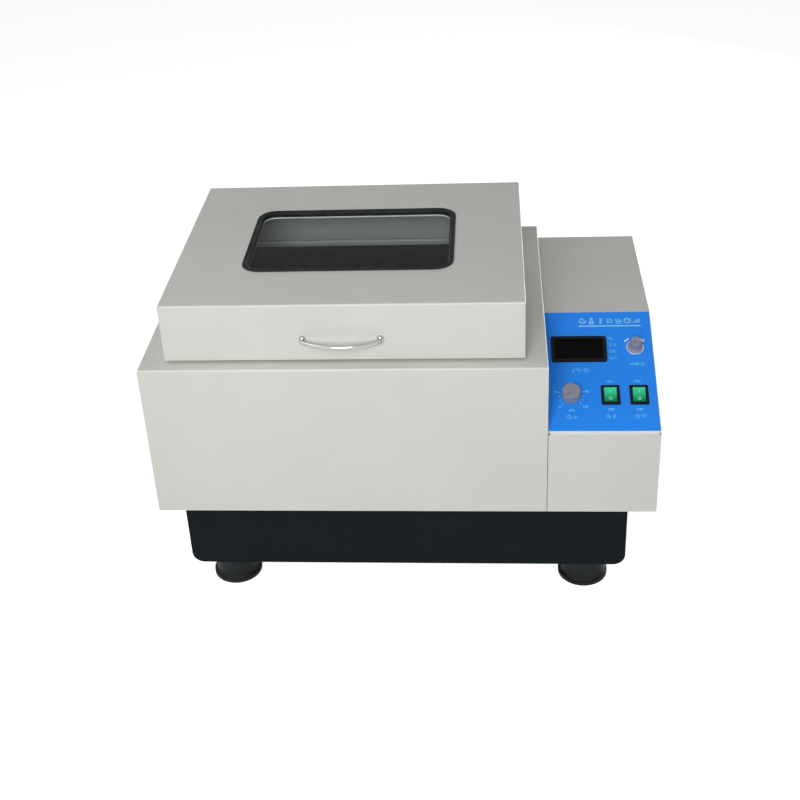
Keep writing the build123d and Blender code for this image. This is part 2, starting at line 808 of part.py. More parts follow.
export_step(lid_handle.part, "parts/lid_handle.step")

with BuildPart() as handle_screws:
    with BuildSketch(Plane.XZ.offset(-(lid_y[0] + sheet))):
        with Locations((handle_x[0], z_handle), (handle_x[1], z_handle)):
            Circle(screw_head_radius)
    extrude(amount=-screw_head_height)
    with BuildSketch(Plane.XZ.offset(-(lid_y[0] + sheet))):
        with Locations((handle_x[0], z_handle), (handle_x[1], z_handle)):
            Circle(handle_screw_radius - running_gap)
    extrude(amount=sheet + handle_screw_depth - fit_gap)
handle_screws.part.label = "handle_screws"
export_step(handle_screws.part, "parts/handle_screws.step")


# ---- Lid hinges ----

hinge_middle = hinge_middle_width / 2
hinge_half = hinge_width / 2
knuckle_reach = hinge_knuckle_radius + hinge_clearance

# Leaf on the rear ledge with the two outer knuckles.
with BuildPart() as hinge_body_leaves:
    for centre in hinge_centres:
        block(
            (centre - hinge_half, centre + hinge_half),
            (hinge_axis_y, y_back - hinge_edge_margin),
            (z_rim, z_rim + hinge_leaf),
        )
        with BuildSketch(Plane.YZ.offset(centre - hinge_half)):
            with Locations((hinge_axis_y, hinge_axis_z)):
                Circle(hinge_knuckle_radius)
        extrude(amount=hinge_width)
        block(
            (centre - hinge_middle - hinge_clearance, centre + hinge_middle + hinge_clearance),
            (hinge_axis_y - knuckle_reach, hinge_axis_y + knuckle_reach),
            (z_rim, hinge_axis_z + knuckle_reach),
            mode=Mode.SUBTRACT,
        )
        with BuildSketch(Plane.YZ.offset(centre - hinge_half)):
            with Locations((hinge_axis_y, hinge_axis_z)):
                Circle(hinge_pin_radius + running_gap)
        extrude(amount=hinge_width, mode=Mode.SUBTRACT)
hinge_body_leaves.part.label = "hinge_body_leaves"
export_step(hinge_body_leaves.part, "parts/hinge_body_leaves.step")

with BuildPart() as hinge_pins:
    for centre in hinge_centres:
        with BuildSketch(Plane.YZ.offset(centre - hinge_half)):
            with Locations((hinge_axis_y, hinge_axis_z)):
                Circle(hinge_pin_radius)
        extrude(amount=hinge_width)
hinge_pins.part.label = "hinge_pins"
export_step(hinge_pins.part, "parts/hinge_pins.step")

# Leaf on the lid's back with the middle knuckle.
with BuildPart() as hinge_lid_leaves:
    for centre in hinge_centres:
        block(
            (centre - hinge_half, centre + hinge_half),
            (lid_y[1], lid_y[1] + hinge_leaf),
            (hinge_axis_z + knuckle_reach, hinge_axis_z + hinge_lid_leaf_height),
        )
        block(
            (centre - hinge_middle, centre + hinge_middle),
            (lid_y[1], lid_y[1] + hinge_leaf),
            (hinge_axis_z, hinge_axis_z + knuckle_reach),
        )
        with BuildSketch(Plane.YZ.offset(centre - hinge_middle)):
            with Locations((hinge_axis_y, hinge_axis_z)):
                Circle(hinge_knuckle_radius)
        extrude(amount=hinge_middle_width)
        with BuildSketch(Plane.YZ.offset(centre - hinge_middle)):
            with Locations((hinge_axis_y, hinge_axis_z)):
                Circle(hinge_pin_radius + running_gap)
        extrude(amount=hinge_middle_width, mode=Mode.SUBTRACT)
hinge_lid_leaves.part.label = "hinge_lid_leaves"
export_step(hinge_lid_leaves.part, "parts/hinge_lid_leaves.step")


# ---- Control housing and its panel ----

display_x = (display_centre[0] - display_size[0] / 2, display_centre[0] + display_size[0] / 2)
display_s = (display_centre[1] - display_size[1] / 2, display_centre[1] + display_size[1] / 2)

# Folded shell: low front, sloped face with its cut-outs, flat top; open behind for the rear panel.
with BuildPart() as control_housing:
    with BuildSketch(Plane.YZ.offset(control_x[0])):
        with BuildLine():
            Polyline(
                (y_front, z_skirt),
                (y_front, z_panel),
                (y_front + panel_run, z_control),
                (y_back, z_control),
                (y_back, z_skirt),
                close=True,
            )
        make_face()
    extrude(amount=length(control_x))
    folds = edges().filter_by(Axis.X).sort_by(Axis.Z)[2:].sort_by(Axis.Y)[:2]
    fillet(folds, bend_radius)
    offset(amount=-sheet, openings=[faces().sort_by(Axis.Z)[0], faces().sort_by(Axis.Y)[-1]])
    with BuildSketch(Plane.XY.offset(z_skirt)):
        ring(control_x, body_y, skirt_flange)
    extrude(amount=sheet)
    with BuildSketch(Plane.XZ.offset(sheet - y_back)):
        ring(inset(control_x, sheet), (z_skirt + sheet, z_control - sheet), rear_flange)
    extrude(amount=sheet)
    with BuildSketch(panel_plane):
        rounded(inset(display_x, display_rim / 2), inset(display_s, display_rim / 2), fit_gap)
        with Locations(*switch_centres):
            Rectangle(switch_body[0] + fit_gap, switch_body[1] + fit_gap)
        with Locations(timer_centre, speed_centre):
            Circle(bush_radius + fit_gap)
    extrude(amount=-bend_radius, mode=Mode.SUBTRACT)
    for notch_x in (control_x[0], control_x[1]):
        block(
            (notch_x - bend_radius, notch_x + bend_radius),
            (y_front - sheet, y_front + bend_radius),
            (z_panel - bend_radius, z_panel + sheet),
            mode=Mode.SUBTRACT,
        )
    block(*plate_notch, mode=Mode.SUBTRACT)
    block(*base_notch, mode=Mode.SUBTRACT)
    with BuildSketch(Plane.XZ.offset(-y_back)):
        with Locations(*rear_screw_points):
            Circle(rear_screw_radius)
    extrude(amount=rear_screw_length, mode=Mode.SUBTRACT)
control_housing.part.label = "control_housing"
export_step(control_housing.part, "parts/control_housing.step")

# Printed blue fascia that covers the slope.
with BuildPart() as control_panel:
    with BuildSketch(panel_plane):
        rounded(panel_span_x, panel_span_s, fit_gap)
        rounded(
            inset(display_x, display_rim / 2),
            inset(display_s, display_rim / 2),
            fit_gap,
            mode=Mode.SUBTRACT,
        )
        with Locations(*switch_centres):
            Rectangle(switch_body[0] + fit_gap, switch_body[1] + fit_gap, mode=Mode.SUBTRACT)
        with Locations(timer_centre, speed_centre):
            Circle(bush_radius + fit_gap, mode=Mode.SUBTRACT)
    extrude(amount=panel_thickness)
control_panel.part.label = "control_panel"
export_step(control_panel.part, "parts/control_panel.step")

# Display bezel: a frame on the fascia, a collar through the cut-out and a ledge for the filter.
with BuildPart() as display_bezel:
    with BuildSketch(panel_plane.offset(panel_thickness)):
        rounded(display_x, display_s, display_corner_radius)
    extrude(amount=display_rise)
    with BuildSketch(panel_plane.offset(-sheet)):
        rounded(
            inset(display_x, display_rim / 2 + fit_gap),
            inset(display_s, display_rim / 2 + fit_gap),
            fit_gap,
        )
    extrude(amount=sheet + panel_thickness)
    with BuildSketch(panel_plane.offset(panel_thickness)):
        rounded(inset(display_x, display_rim), inset(display_s, display_rim), fit_gap)
    extrude(amount=display_rise, mode=Mode.SUBTRACT)
    with BuildSketch(panel_plane.offset(-sheet)):
        rounded(
            inset(display_x, display_rim + display_ledge),
            inset(display_s, display_rim + display_ledge),
            fit_gap,
        )
    extrude(amount=sheet + panel_thickness, mode=Mode.SUBTRACT)
display_bezel.part.label = "display_bezel"
export_step(display_bezel.part, "parts/display_bezel.step")

with BuildPart() as display_window:
    with BuildSketch(panel_plane.offset(panel_thickness)):
        rounded(
            inset(display_x, display_rim + running_gap),
            inset(display_s, display_rim + running_gap),
            fit_gap,
        )
    extrude(amount=display_filter)
display_window.part.label = "display_window"
export_step(display_window.part, "parts/display_window.step")

# Display board on four posts, with its digit module just behind the filter.
module_x = inset(display_x, display_rim + display_ledge + fit_gap)
module_s = inset(display_s, display_rim + display_ledge + fit_gap)
post_points = [
    (x, s)
    for x in inset(display_x, -display_post_margin)
    for s in inset(display_s, display_rim)
]
with BuildPart() as display_board:
    with BuildSketch(panel_plane.offset(-display_board_depth)):
        rounded(
            inset(display_x, -display_post_margin - display_post_radius),
            inset(display_s, -display_post_margin),
            display_rim,
        )
    extrude(amount=board_size[2])
    with BuildSketch(panel_plane.offset(board_size[2] - display_board_depth)):
        rounded(module_x, module_s, fit_gap)
    extrude(amount=display_board_depth - board_size[2] - sheet - fit_gap)
    with BuildSketch(panel_plane.offset(board_size[2] - display_board_depth)):
        with Locations(*post_points):
            Circle(display_post_radius)
    extrude(amount=display_board_depth - board_size[2] - sheet)
display_board.part.label = "display_board"
export_step(display_board.part, "parts/display_board.step")

# Rocker switch frames: bezel, body behind the panel, cavity and the rocker's pivot holes.
with BuildPart() as rocker_frames:
    with BuildSketch(panel_plane.offset(panel_thickness)):
        with Locations(*switch_centres):
            RectangleRounded(*switch_frame, bend_radius / 2)
    extrude(amount=switch_frame_rise)
    with BuildSketch(panel_plane.offset(panel_thickness - switch_body_depth)):
        with Locations(*switch_centres):
            Rectangle(*switch_body)
    extrude(amount=switch_body_depth)
    with BuildSketch(panel_plane.offset(panel_thickness + switch_frame_rise)):
        with Locations(*switch_centres):
            Rectangle(*switch_cavity)
    extrude(amount=-switch_cavity_depth, mode=Mode.SUBTRACT)
    for centre_x, centre_s in switch_centres:
        pivot = panel_plane.from_local_coords((centre_x, centre_s, rocker_pivot_height))
        with BuildSketch(Plane(origin=pivot, x_dir=panel_plane.y_dir, z_dir=(1, 0, 0))):
            Circle(rocker_pin_radius + running_gap)
        extrude(
            amount=rocker_size[0] / 2 + rocker_pin_length + fit_gap,
            both=True,
            mode=Mode.SUBTRACT,
        )
rocker_frames.part.label = "rocker_frames"
export_step(rocker_frames.part, "parts/rocker_frames.step")

# The rockers, drawn with their lower end pressed in: a shallow V on a keel, with two pivot pins.
rocker_lean = panel_slope + radians(rocker_tilt)
rocker_half = rocker_size[1] / 2
for name, (centre_x, centre_s) in zip(("heat_rocker", "power_rocker"), switch_centres):
    pivot = panel_plane.from_local_coords((centre_x, centre_s, rocker_pivot_height))
    side_plane = Plane(origin=pivot, x_dir=(0, cos(rocker_lean), sin(rocker_lean)), z_dir=(1, 0, 0))
    with BuildPart() as rocker:
        with BuildSketch(side_plane):
            with BuildLine():
                Polyline(
                    (-rocker_half, rocker_end_height),
                    (0, rocker_ridge_height),
                    (rocker_half, rocker_end_height),
                    (rocker_half, -rocker_skirt),
                    (rocker_keel_width / 2, -rocker_keel),
                    (-rocker_keel_width / 2, -rocker_keel),
                    (-rocker_half, -rocker_skirt),
                    close=True,
                )
            make_face()
        extrude(amount=rocker_size[0] / 2, both=True)
        with BuildSketch(side_plane):
            Circle(rocker_pin_radius)
        extrude(amount=rocker_size[0] / 2 + rocker_pin_length, both=True)
    rocker.part.label = name
    export_step(rocker.part, f"parts/{name}.step")

# Mechanical timer behind the panel; its threaded bush and nut stand through the fascia.
with BuildPart() as timer_body:
    with BuildSketch(panel_plane.offset(-sheet)):
        with Locations(timer_centre):
            RectangleRounded(timer_body_size[0], timer_body_size[1], bend_radius)
    extrude(amount=-timer_body_size[2])
    with BuildSketch(panel_plane.offset(-sheet)):
        with Locations(timer_centre):
            Circle(bush_radius)
    extrude(amount=sheet + panel_thickness + bush_rise)
    with BuildSketch(panel_plane.offset(panel_thickness)):
        with Locations(timer_centre):
            RegularPolygon(bush_nut_radius, 6)
    extrude(amount=bush_nut_height)
    with BuildSketch(panel_plane.offset(panel_thickness + bush_rise)):
        with Locations(timer_centre):
            Circle(shaft_radius + running_gap)
    extrude(amount=-bush_length, mode=Mode.SUBTRACT)
timer_body.part.label = "timer_body"
export_step(timer_body.part, "parts/timer_body.step")

z_knob = panel_thickness + knob_lift
with BuildPart() as timer_shaft:
    with BuildSketch(panel_plane.offset(panel_thickness + bush_rise - bush_length + fit_gap)):
        with Locations(timer_centre):
            Circle(shaft_radius)
    extrude(amount=bush_length - bush_rise + timer_knob_height - knob_wall)
timer_shaft.part.label = "timer_shaft"
export_step(timer_shaft.part, "parts/timer_shaft.step")

# Fluted grey knob, hollow below so that it clears the bush and nut.
timer_plane = Plane(
    origin=panel_plane.from_local_coords((*timer_centre, z_knob)),
    x_dir=panel_plane.x_dir,
    z_dir=panel_normal,
)
with BuildPart() as timer_knob:
    with BuildSketch(timer_plane):
        Circle(timer_knob_radius)
    extrude(amount=timer_knob_height, taper=timer_knob_taper)
    fillet(faces().sort_by(Axis.Z)[-1].edges(), knob_lift)
    with BuildSketch(timer_plane.offset(knob_wall)):
        with PolarLocations(timer_knob_radius, timer_flutes):
            Circle(timer_flute_radius)
    extrude(amount=timer_knob_height, mode=Mode.SUBTRACT)
    with BuildSketch(timer_plane):
        Circle(timer_knob_radius - knob_wall)
    extrude(amount=bush_rise, mode=Mode.SUBTRACT)
    with BuildSketch(timer_plane):
        Circle(shaft_radius + running_gap)
    extrude(amount=timer_knob_height - knob_wall + fit_gap, mode=Mode.SUBTRACT)
timer_knob.part.label = "timer_knob"
export_step(timer_knob.part, "parts/timer_knob.step")

# Speed potentiometer with its bush, shaft, skirt and cap.
with BuildPart() as speed_potentiometer:
    with BuildSketch(panel_plane.offset(-sheet)):
        with Locations(speed_centre):
            Circle(speed_body_radius)
    extrude(amount=-speed_body_depth)
    with BuildSketch(panel_plane.offset(-sheet)):
        with Locations(speed_centre):
            Circle(bush_radius)
    extrude(amount=sheet + panel_thickness + bush_rise)
    with BuildSketch(panel_plane.offset(panel_thickness + bush_rise)):
        with Locations(speed_centre):
            Circle(shaft_radius + running_gap)
    extrude(amount=-bush_length, mode=Mode.SUBTRACT)
speed_potentiometer.part.label = "speed_potentiometer"
export_step(speed_potentiometer.part, "parts/speed_potentiometer.step")

speed_plane = Plane(
    origin=panel_plane.from_local_coords((*speed_centre, z_knob)),
    x_dir=panel_plane.x_dir,
    z_dir=panel_normal,
)
with BuildPart() as speed_shaft:
    with BuildSketch(panel_plane.offset(panel_thickness + bush_rise - bush_length + fit_gap)):
        with Locations(speed_centre):
            Circle(shaft_radius)
    extrude(amount=bush_length - bush_rise + speed_skirt_height + speed_cap_height - knob_wall)
speed_shaft.part.label = "speed_shaft"
export_step(speed_shaft.part, "parts/speed_shaft.step")

with BuildPart() as speed_skirt:
    with BuildSketch(speed_plane):
        Circle(speed_skirt_radius)
    with BuildSketch(speed_plane.offset(speed_skirt_height)):
        Circle(speed_skirt_top_radius)
    loft()
    with BuildSketch(speed_plane):
        Circle(bush_radius + fit_gap)
    extrude(amount=speed_skirt_height, mode=Mode.SUBTRACT)
speed_skirt.part.label = "speed_skirt"
export_step(speed_skirt.part, "parts/speed_skirt.step")

with BuildPart() as speed_cap:
    with BuildSketch(speed_plane.offset(speed_skirt_height)):
        Circle(speed_cap_radius)
    extrude(amount=speed_cap_height)
    fillet(faces().sort_by(Axis.Z)[-1].edges(), knob_lift)
    with BuildSketch(speed_plane.offset(speed_skirt_height)):
        Circle(shaft_radius + running_gap)
    extrude(amount=speed_cap_height - knob_wall + fit_gap, mode=Mode.SUBTRACT)
speed_cap.part.label = "speed_cap"
export_step(speed_cap.part, "parts/speed_cap.step")


# ---- Rear panel, inlet and fuses ----

# Pressed louvres: a slot under a quarter-round hood that opens downwards.
with BuildPart() as rear_panel:
    block(rear_panel_x, (y_back - sheet, y_back), rear_panel_z)
    for top in louvre_tops:
        block(
            (louvre_x[0] + louvre_sheet, louvre_x[1] - louvre_sheet),
            (y_back - sheet, y_back),
            (top - louvre_radius, top - louvre_sheet),
            mode=Mode.SUBTRACT,
        )
        with BuildSketch(Plane.YZ.offset(louvre_x[0])):
            with Locations((y_back, top - louvre_radius)):
                Circle(louvre_radius)
                Circle(louvre_radius - louvre_sheet, mode=Mode.SUBTRACT)
                Rectangle(
                    louvre_radius,
                    louvre_radius,
                    align=(Align.MIN, Align.MIN),
                    mode=Mode.INTERSECT,
                )
        extrude(amount=louvre_length)
        for end_x in (louvre_x[0], louvre_x[1] - louvre_sheet):
            with BuildSketch(Plane.YZ.offset(end_x)):
                with Locations((y_back, top - louvre_radius)):
                    Circle(louvre_radius)
                    Rectangle(
                        louvre_radius,
                        louvre_radius,
                        align=(Align.MIN, Align.MIN),
                        mode=Mode.INTERSECT,
                    )
            extrude(amount=louvre_sheet)
    with BuildSketch(Plane.XZ.offset(-y_back)):
        with Locations((inlet_x, z_inlet)):
            Rectangle(inlet_body[0] + fit_gap, inlet_body[1] + fit_gap)
        with Locations(*fuse_points):
            Circle(fuse_barrel_radius + fit_gap)
        with Locations(*rear_screw_points):
            Circle(rear_screw_radius + fit_gap)
    extrude(amount=sheet, mode=Mode.SUBTRACT)
rear_panel.part.label = "rear_panel"
export_step(rear_panel.part, "parts/rear_panel.step")

with BuildPart() as rear_screws:
    with BuildSketch(Plane.XZ.offset(-y_back)):
        with Locations(*rear_screw_points):
            Circle(rear_screw_head)
    extrude(amount=-rear_screw_head_height)
    fillet(edges().group_by(Axis.Y)[-1], rear_screw_head_height / 2)
    with BuildSketch(Plane.XZ.offset(-y_back)):
        with Locations(*rear_screw_points):
            Circle(rear_screw_radius - running_gap)
    extrude(amount=rear_screw_length)
rear_screws.part.label = "rear_screws"
export_step(rear_screws.part, "parts/rear_screws.step")

# Mains inlet with a shrouded three-blade cavity.
inlet_blade_points = [
    (inlet_x - inlet_blade_spread, z_inlet + inlet_blade_rise - inlet_blade[1] / 2),
    (inlet_x + inlet_blade_spread, z_inlet + inlet_blade_rise - inlet_blade[1] / 2),
    (inlet_x, z_inlet + inlet_blade_rise + inlet_blade[1] / 2),
]
with BuildPart() as power_inlet:
    with BuildSketch(Plane.XZ.offset(-y_back)):
        with Locations((inlet_x, z_inlet)):
            RectangleRounded(inlet_flange[0], inlet_flange[1], inlet_flange[2])
            with GridLocations(inlet_screw_spacing, 0, 2, 1):
                Circle(inlet_screw_radius, mode=Mode.SUBTRACT)
    extrude(amount=-inlet_flange[2])
    with BuildSketch(Plane.XZ.offset(-y_back)):
        with Locations((inlet_x, z_inlet)):
            Rectangle(inlet_body[0], inlet_body[1])
    extrude(amount=inlet_body[2] - inlet_flange[2])
    with BuildSketch(Plane.XZ.offset(-(y_back + inlet_flange[2]))):
        with Locations((inlet_x, z_inlet)):
            Rectangle(inlet_cavity[0], inlet_cavity[1])
        chamfer(vertices().group_by(Axis.Y)[-1], inlet_chamfer)
    extrude(amount=inlet_cavity[2], mode=Mode.SUBTRACT)
    with BuildSketch(Plane.XZ.offset(-(y_back + inlet_flange[2] - inlet_cavity[2]))):
        with Locations(*inlet_blade_points):
            Rectangle(inlet_blade[0], inlet_blade[1])
    extrude(amount=-inlet_blade[2])
power_inlet.part.label = "power_inlet"
export_step(power_inlet.part, "parts/power_inlet.step")

with BuildPart() as fuse_holders:
    with BuildSketch(Plane.XZ.offset(-y_back)):
        with Locations(*fuse_points):
            Circle(fuse_cap_radius)
    extrude(amount=-fuse_cap_length)
    fillet(edges().group_by(Axis.Y)[-1], rear_screw_head_height / 2)
    with BuildSketch(Plane.XZ.offset(-y_back)):
        with Locations(*fuse_points):
            Circle(fuse_barrel_radius)
    extrude(amount=fuse_barrel_length)
    for fuse_x, fuse_z in fuse_points:
        block(
            (fuse_x - fuse_slot[0] / 2, fuse_x + fuse_slot[0] / 2),
            (y_back + fuse_cap_length - fuse_slot[2], y_back + fuse_cap_length),
            (fuse_z - fuse_slot[1] / 2, fuse_z + fuse_slot[1] / 2),
            mode=Mode.SUBTRACT,
        )
fuse_holders.part.label = "fuse_holders"
export_step(fuse_holders.part, "parts/fuse_holders.step")


# ---- Mains board in the control housing ----

board_x = (mid(control_x) - board_size[0] / 2, mid(control_x) + board_size[0] / 2)
board_y = (y_front + board_front_margin, y_front + board_front_margin + board_size[1])
z_board = z_chassis_top + standoff_height
z_board_top = z_board + board_size[2]
with BuildPart() as power_board:
    block(board_x, board_y, (z_board, z_board_top))
    with BuildSketch(Plane.XY.offset(z_chassis_top)):
        with Locations((mid(board_x), mid(board_y))):
            with GridLocations(
                board_size[0] - 2 * board_corner, board_size[1] - 2 * board_corner, 2, 2
            ):
                Circle(standoff_radius)
    extrude(amount=standoff_height)
    transformer_y = board_y[0] + board_corner + transformer_size[1]
    with Locations((mid(board_x), transformer_y, z_board_top + transformer_size[2] / 2)):
        Box(*transformer_size)
        Box(*transformer_core)
    with Locations((mid(board_x), board_y[1] - heatsink_size[1], z_board_top)):
        Box(
            heatsink_size[0],
            heatsink_size[1],
            heatsink_base,
            align=(Align.CENTER, Align.CENTER, Align.MIN),
        )
        with GridLocations(heatsink_size[0] / heatsink_fins, 0, heatsink_fins, 1):
            Box(
                heatsink_fin,
                heatsink_size[1],
                heatsink_size[2],
                align=(Align.CENTER, Align.CENTER, Align.MIN),
            )
    with BuildSketch(Plane.XY.offset(z_board_top)):
        with Locations((mid(board_x), mid(board_y) + board_corner)):
            with GridLocations(3 * capacitor_radius, 0, 3, 1):
                Circle(capacitor_radius)
    extrude(amount=capacitor_height)
power_board.part.label = "power_board"
export_step(power_board.part, "parts/power_board.step")


# ---- Drive: bearing housings, bearings and cranks ----


def bearing_outline(bore_radius, outer_radius, width, low):
    """Half section of a ball bearing with recessed shields, its lower face at the height low."""
    depth = width / 10
    race = (outer_radius - bore_radius) * bearing_race
    return [
        (bore_radius, low),
        (bore_radius + race, low),
        (bore_radius + race, low + depth),
        (outer_radius - race, low + depth),
        (outer_radius - race, low),
        (outer_radius, low),
        (outer_radius, low + width),
        (outer_radius - race, low + width),
        (outer_radius - race, low + width - depth),
        (bore_radius + race, low + width - depth),
        (bore_radius + race, low + width),
        (bore_radius, low + width),
    ]


def bearing_heights(housing_length, width):
    """The lower faces of the two bearings in a housing that hangs from the chassis plate."""
    return (
        z_base_top - housing_length + bearing_end_margin,
        z_base_top - bearing_end_margin - width,
    )


with BuildPart() as main_bearing_housing:
    with BuildSketch(Plane.XY.offset(z_base_top)):
        with Locations((drive_x, drive_y)):
            Circle(main_housing_flange_radius)
    extrude(amount=-housing_flange_thickness)
    with BuildSketch(Plane.XY.offset(z_base_top)):
        with Locations((drive_x, drive_y)):
            Circle(main_housing_radius)
    extrude(amount=-main_housing_length)
    with BuildSketch(Plane.XY.offset(z_base_top)):
        with Locations((drive_x, drive_y)):
            Circle(main_shaft_radius + shaft_clearance)
    extrude(amount=-main_housing_length, mode=Mode.SUBTRACT)
    for low in bearing_heights(main_housing_length, main_bearing[2]):
        with BuildSketch(Plane.XY.offset(low)):
            with Locations((drive_x, drive_y)):
                Circle(main_bearing[1] + running_gap)
        extrude(amount=main_bearing[2], mode=Mode.SUBTRACT)
main_bearing_housing.part.label = "main_bearing_housing"
export_step(main_bearing_housing.part, "parts/main_bearing_housing.step")

with BuildPart() as idler_bearing_housings:
    with BuildSketch(Plane.XY.offset(z_base_top)):
        with Locations(*idler_points):
            Circle(idler_housing_flange_radius)
    extrude(amount=-housing_flange_thickness)
    with BuildSketch(Plane.XY.offset(z_base_top)):
        with Locations(*idler_points):
            Circle(idler_housing_radius)
    extrude(amount=-idler_housing_length)
    with BuildSketch(Plane.XY.offset(z_base_top)):
        with Locations(*idler_points):
            Circle(idler_shaft_radius + shaft_clearance)
    extrude(amount=-idler_housing_length, mode=Mode.SUBTRACT)
    for low in bearing_heights(idler_housing_length, idler_bearing[2]):
        with BuildSketch(Plane.XY.offset(low)):
            with Locations(*idler_points):
                Circle(idler_bearing[1] + running_gap)
        extrude(amount=idler_bearing[2], mode=Mode.SUBTRACT)
idler_bearing_housings.part.label = "idler_bearing_housings"
export_step(idler_bearing_housings.part, "parts/idler_bearing_housings.step")

# The drive's ball bearings: two on the main shaft and two on each idler.
with BuildPart() as main_bearing_pair:
    for low in bearing_heights(main_housing_length, main_bearing[2]):
        with BuildSketch(Plane.XZ):
            with BuildLine():
                Polyline(
                    *bearing_outline(
                        main_bearing[0] + running_gap, main_bearing[1], main_bearing[2], low
                    ),
                    close=True,
                )
            make_face()
        revolve(axis=Axis.Z)

with BuildPart() as idler_bearing_pair:
    for low in bearing_heights(idler_housing_length, idler_bearing[2]):
        with BuildSketch(Plane.XZ):
            with BuildLine():
                Polyline(
                    *bearing_outline(
                        idler_bearing[0] + running_gap, idler_bearing[1], idler_bearing[2], low
                    ),
                    close=True,
                )
            make_face()
        revolve(axis=Axis.Z)

with BuildPart() as shaft_bearings:
    with Locations((drive_x, drive_y)):
        add(main_bearing_pair.part)
    with Locations(*idler_points):
        add(idler_bearing_pair.part)
shaft_bearings.part.label = "shaft_bearings"
export_step(shaft_bearings.part, "parts/shaft_bearings.step")

# Main crank: one turned shaft, its web above the chamber floor and the offset pin.
with BuildPart() as main_crank:
    with BuildSketch(Plane.XY.offset(z_pulley - motor_shaft_end)):
        with Locations((drive_x, drive_y)):
            Circle(main_shaft_radius)
    extrude(amount=z_web - z_pulley + motor_shaft_end)
    with BuildSketch(Plane.XY.offset(z_web)):
        with Locations((drive_x, drive_y)):
            Circle(main_web_radius)
    extrude(amount=main_web_thickness)
    with BuildSketch(Plane.XY.offset(z_main_web_top)):
        with Locations((drive_x + orbit_radius, drive_y)):
            Circle(main_pin_radius)
    extrude(amount=pin_length)
main_crank.part.label = "main_crank"
export_step(main_crank.part, "parts/main_crank.step")

z_idler_shaft = z_base_top - idler_housing_length
for number, (idler_x, idler_y) in enumerate(idler_points, 1):
    with BuildPart() as idler_crank:
        with BuildSketch(Plane.XY.offset(z_idler_shaft)):
            with Locations((idler_x, idler_y)):
                Circle(idler_shaft_radius)
        extrude(amount=z_web - z_idler_shaft)
        with BuildSketch(Plane.XY.offset(z_web)):
            with Locations((idler_x, idler_y)):
                Circle(idler_web_radius)
        extrude(amount=idler_web_thickness)
        with BuildSketch(Plane.XY.offset(z_idler_web_top)):
            with Locations((idler_x + orbit_radius, idler_y)):
                Circle(idler_pin_radius)
        extrude(amount=z_pin_top - z_idler_web_top)
    idler_crank.part.label = f"idler_crank_{number}"
    export_step(idler_crank.part, f"parts/idler_crank_{number}.step")


# ---- Drive: pulleys, belt, counterweight and motor ----

groove_margin = (pulley_height - pulley_groove_width) / 2
with BuildPart() as main_pulley:
    with BuildSketch(Plane.XY.offset(z_pulley)):
        with Locations((drive_x, drive_y)):
            Circle(pulley_groove_radius + pulley_flange)
    extrude(amount=pulley_height)
    with BuildSketch(Plane.XY.offset(z_pulley + groove_margin)):
        with Locations((drive_x, drive_y)):
            Circle(pulley_groove_radius + pulley_flange)
            Circle(pulley_groove_radius, mode=Mode.SUBTRACT)
    extrude(amount=pulley_groove_width, mode=Mode.SUBTRACT)
    with BuildSketch(Plane.XY.offset(z_pulley)):
        with Locations((drive_x, drive_y)):
            Circle(main_shaft_radius + running_gap)
            with PolarLocations((pulley_groove_radius + pulley_hub_radius) / 2, pulley_windows):
                Circle(pulley_window_radius)
    extrude(amount=pulley_height, mode=Mode.SUBTRACT)
main_pulley.part.label = "main_pulley"
export_step(main_pulley.part, "parts/main_pulley.step")

with BuildPart() as motor_pulley:
    with BuildSketch(Plane.XY.offset(z_pulley)):
        with Locations(motor_point):
            Circle(motor_groove_radius + pulley_flange)
    extrude(amount=pulley_height)
    with BuildSketch(Plane.XY.offset(z_pulley + groove_margin)):
        with Locations(motor_point):
            Circle(motor_groove_radius + pulley_flange)
            Circle(motor_groove_radius, mode=Mode.SUBTRACT)
    extrude(amount=pulley_groove_width, mode=Mode.SUBTRACT)
    with BuildSketch(Plane.XY.offset(z_pulley - motor_shaft_end)):
        with Locations(motor_point):
            Circle(motor_shaft_radius)
    extrude(amount=z_motor + motor_shaft_seat - z_pulley + motor_shaft_end)
motor_pulley.part.label = "motor_pulley"
export_step(motor_pulley.part, "parts/motor_pulley.step")

# Flat belt round both grooves: the outline of two circles and their tangents.
z_belt = z_pulley + pulley_height / 2 - belt_width / 2
belt_circles = (
    ((drive_x, drive_y), pulley_groove_radius + belt_gap),
    (motor_point, motor_groove_radius + belt_gap),
)
with BuildSketch(Plane.XY.offset(z_belt)) as belt_inside:
    for centre, radius in belt_circles:
        with Locations(centre):
            Circle(radius)
    make_hull()
with BuildPart() as drive_belt:
    with BuildSketch(Plane.XY.offset(z_belt)):
        for centre, radius in belt_circles:
            with Locations(centre):
                Circle(radius + belt_thickness)
        make_hull()
        add(belt_inside.sketch_local, mode=Mode.SUBTRACT)
    extrude(amount=belt_width)
drive_belt.part.label = "drive_belt"
export_step(drive_belt.part, "parts/drive_belt.step")

# Half-disc counterweight opposite the crank pin, on its own hub.
with BuildPart() as counterweight:
    with BuildSketch(Plane.XY.offset(z_weight)):
        with Locations((drive_x, drive_y)):
            Circle(weight_radius)
            Rectangle(
                2 * weight_radius,
                2 * weight_radius,
                align=(Align.MIN, Align.CENTER),
                mode=Mode.SUBTRACT,
            )
            Circle(pulley_hub_radius)
            Circle(main_shaft_radius + running_gap, mode=Mode.SUBTRACT)
    extrude(amount=weight_thickness)
counterweight.part.label = "counterweight"
export_step(counterweight.part, "parts/counterweight.step")

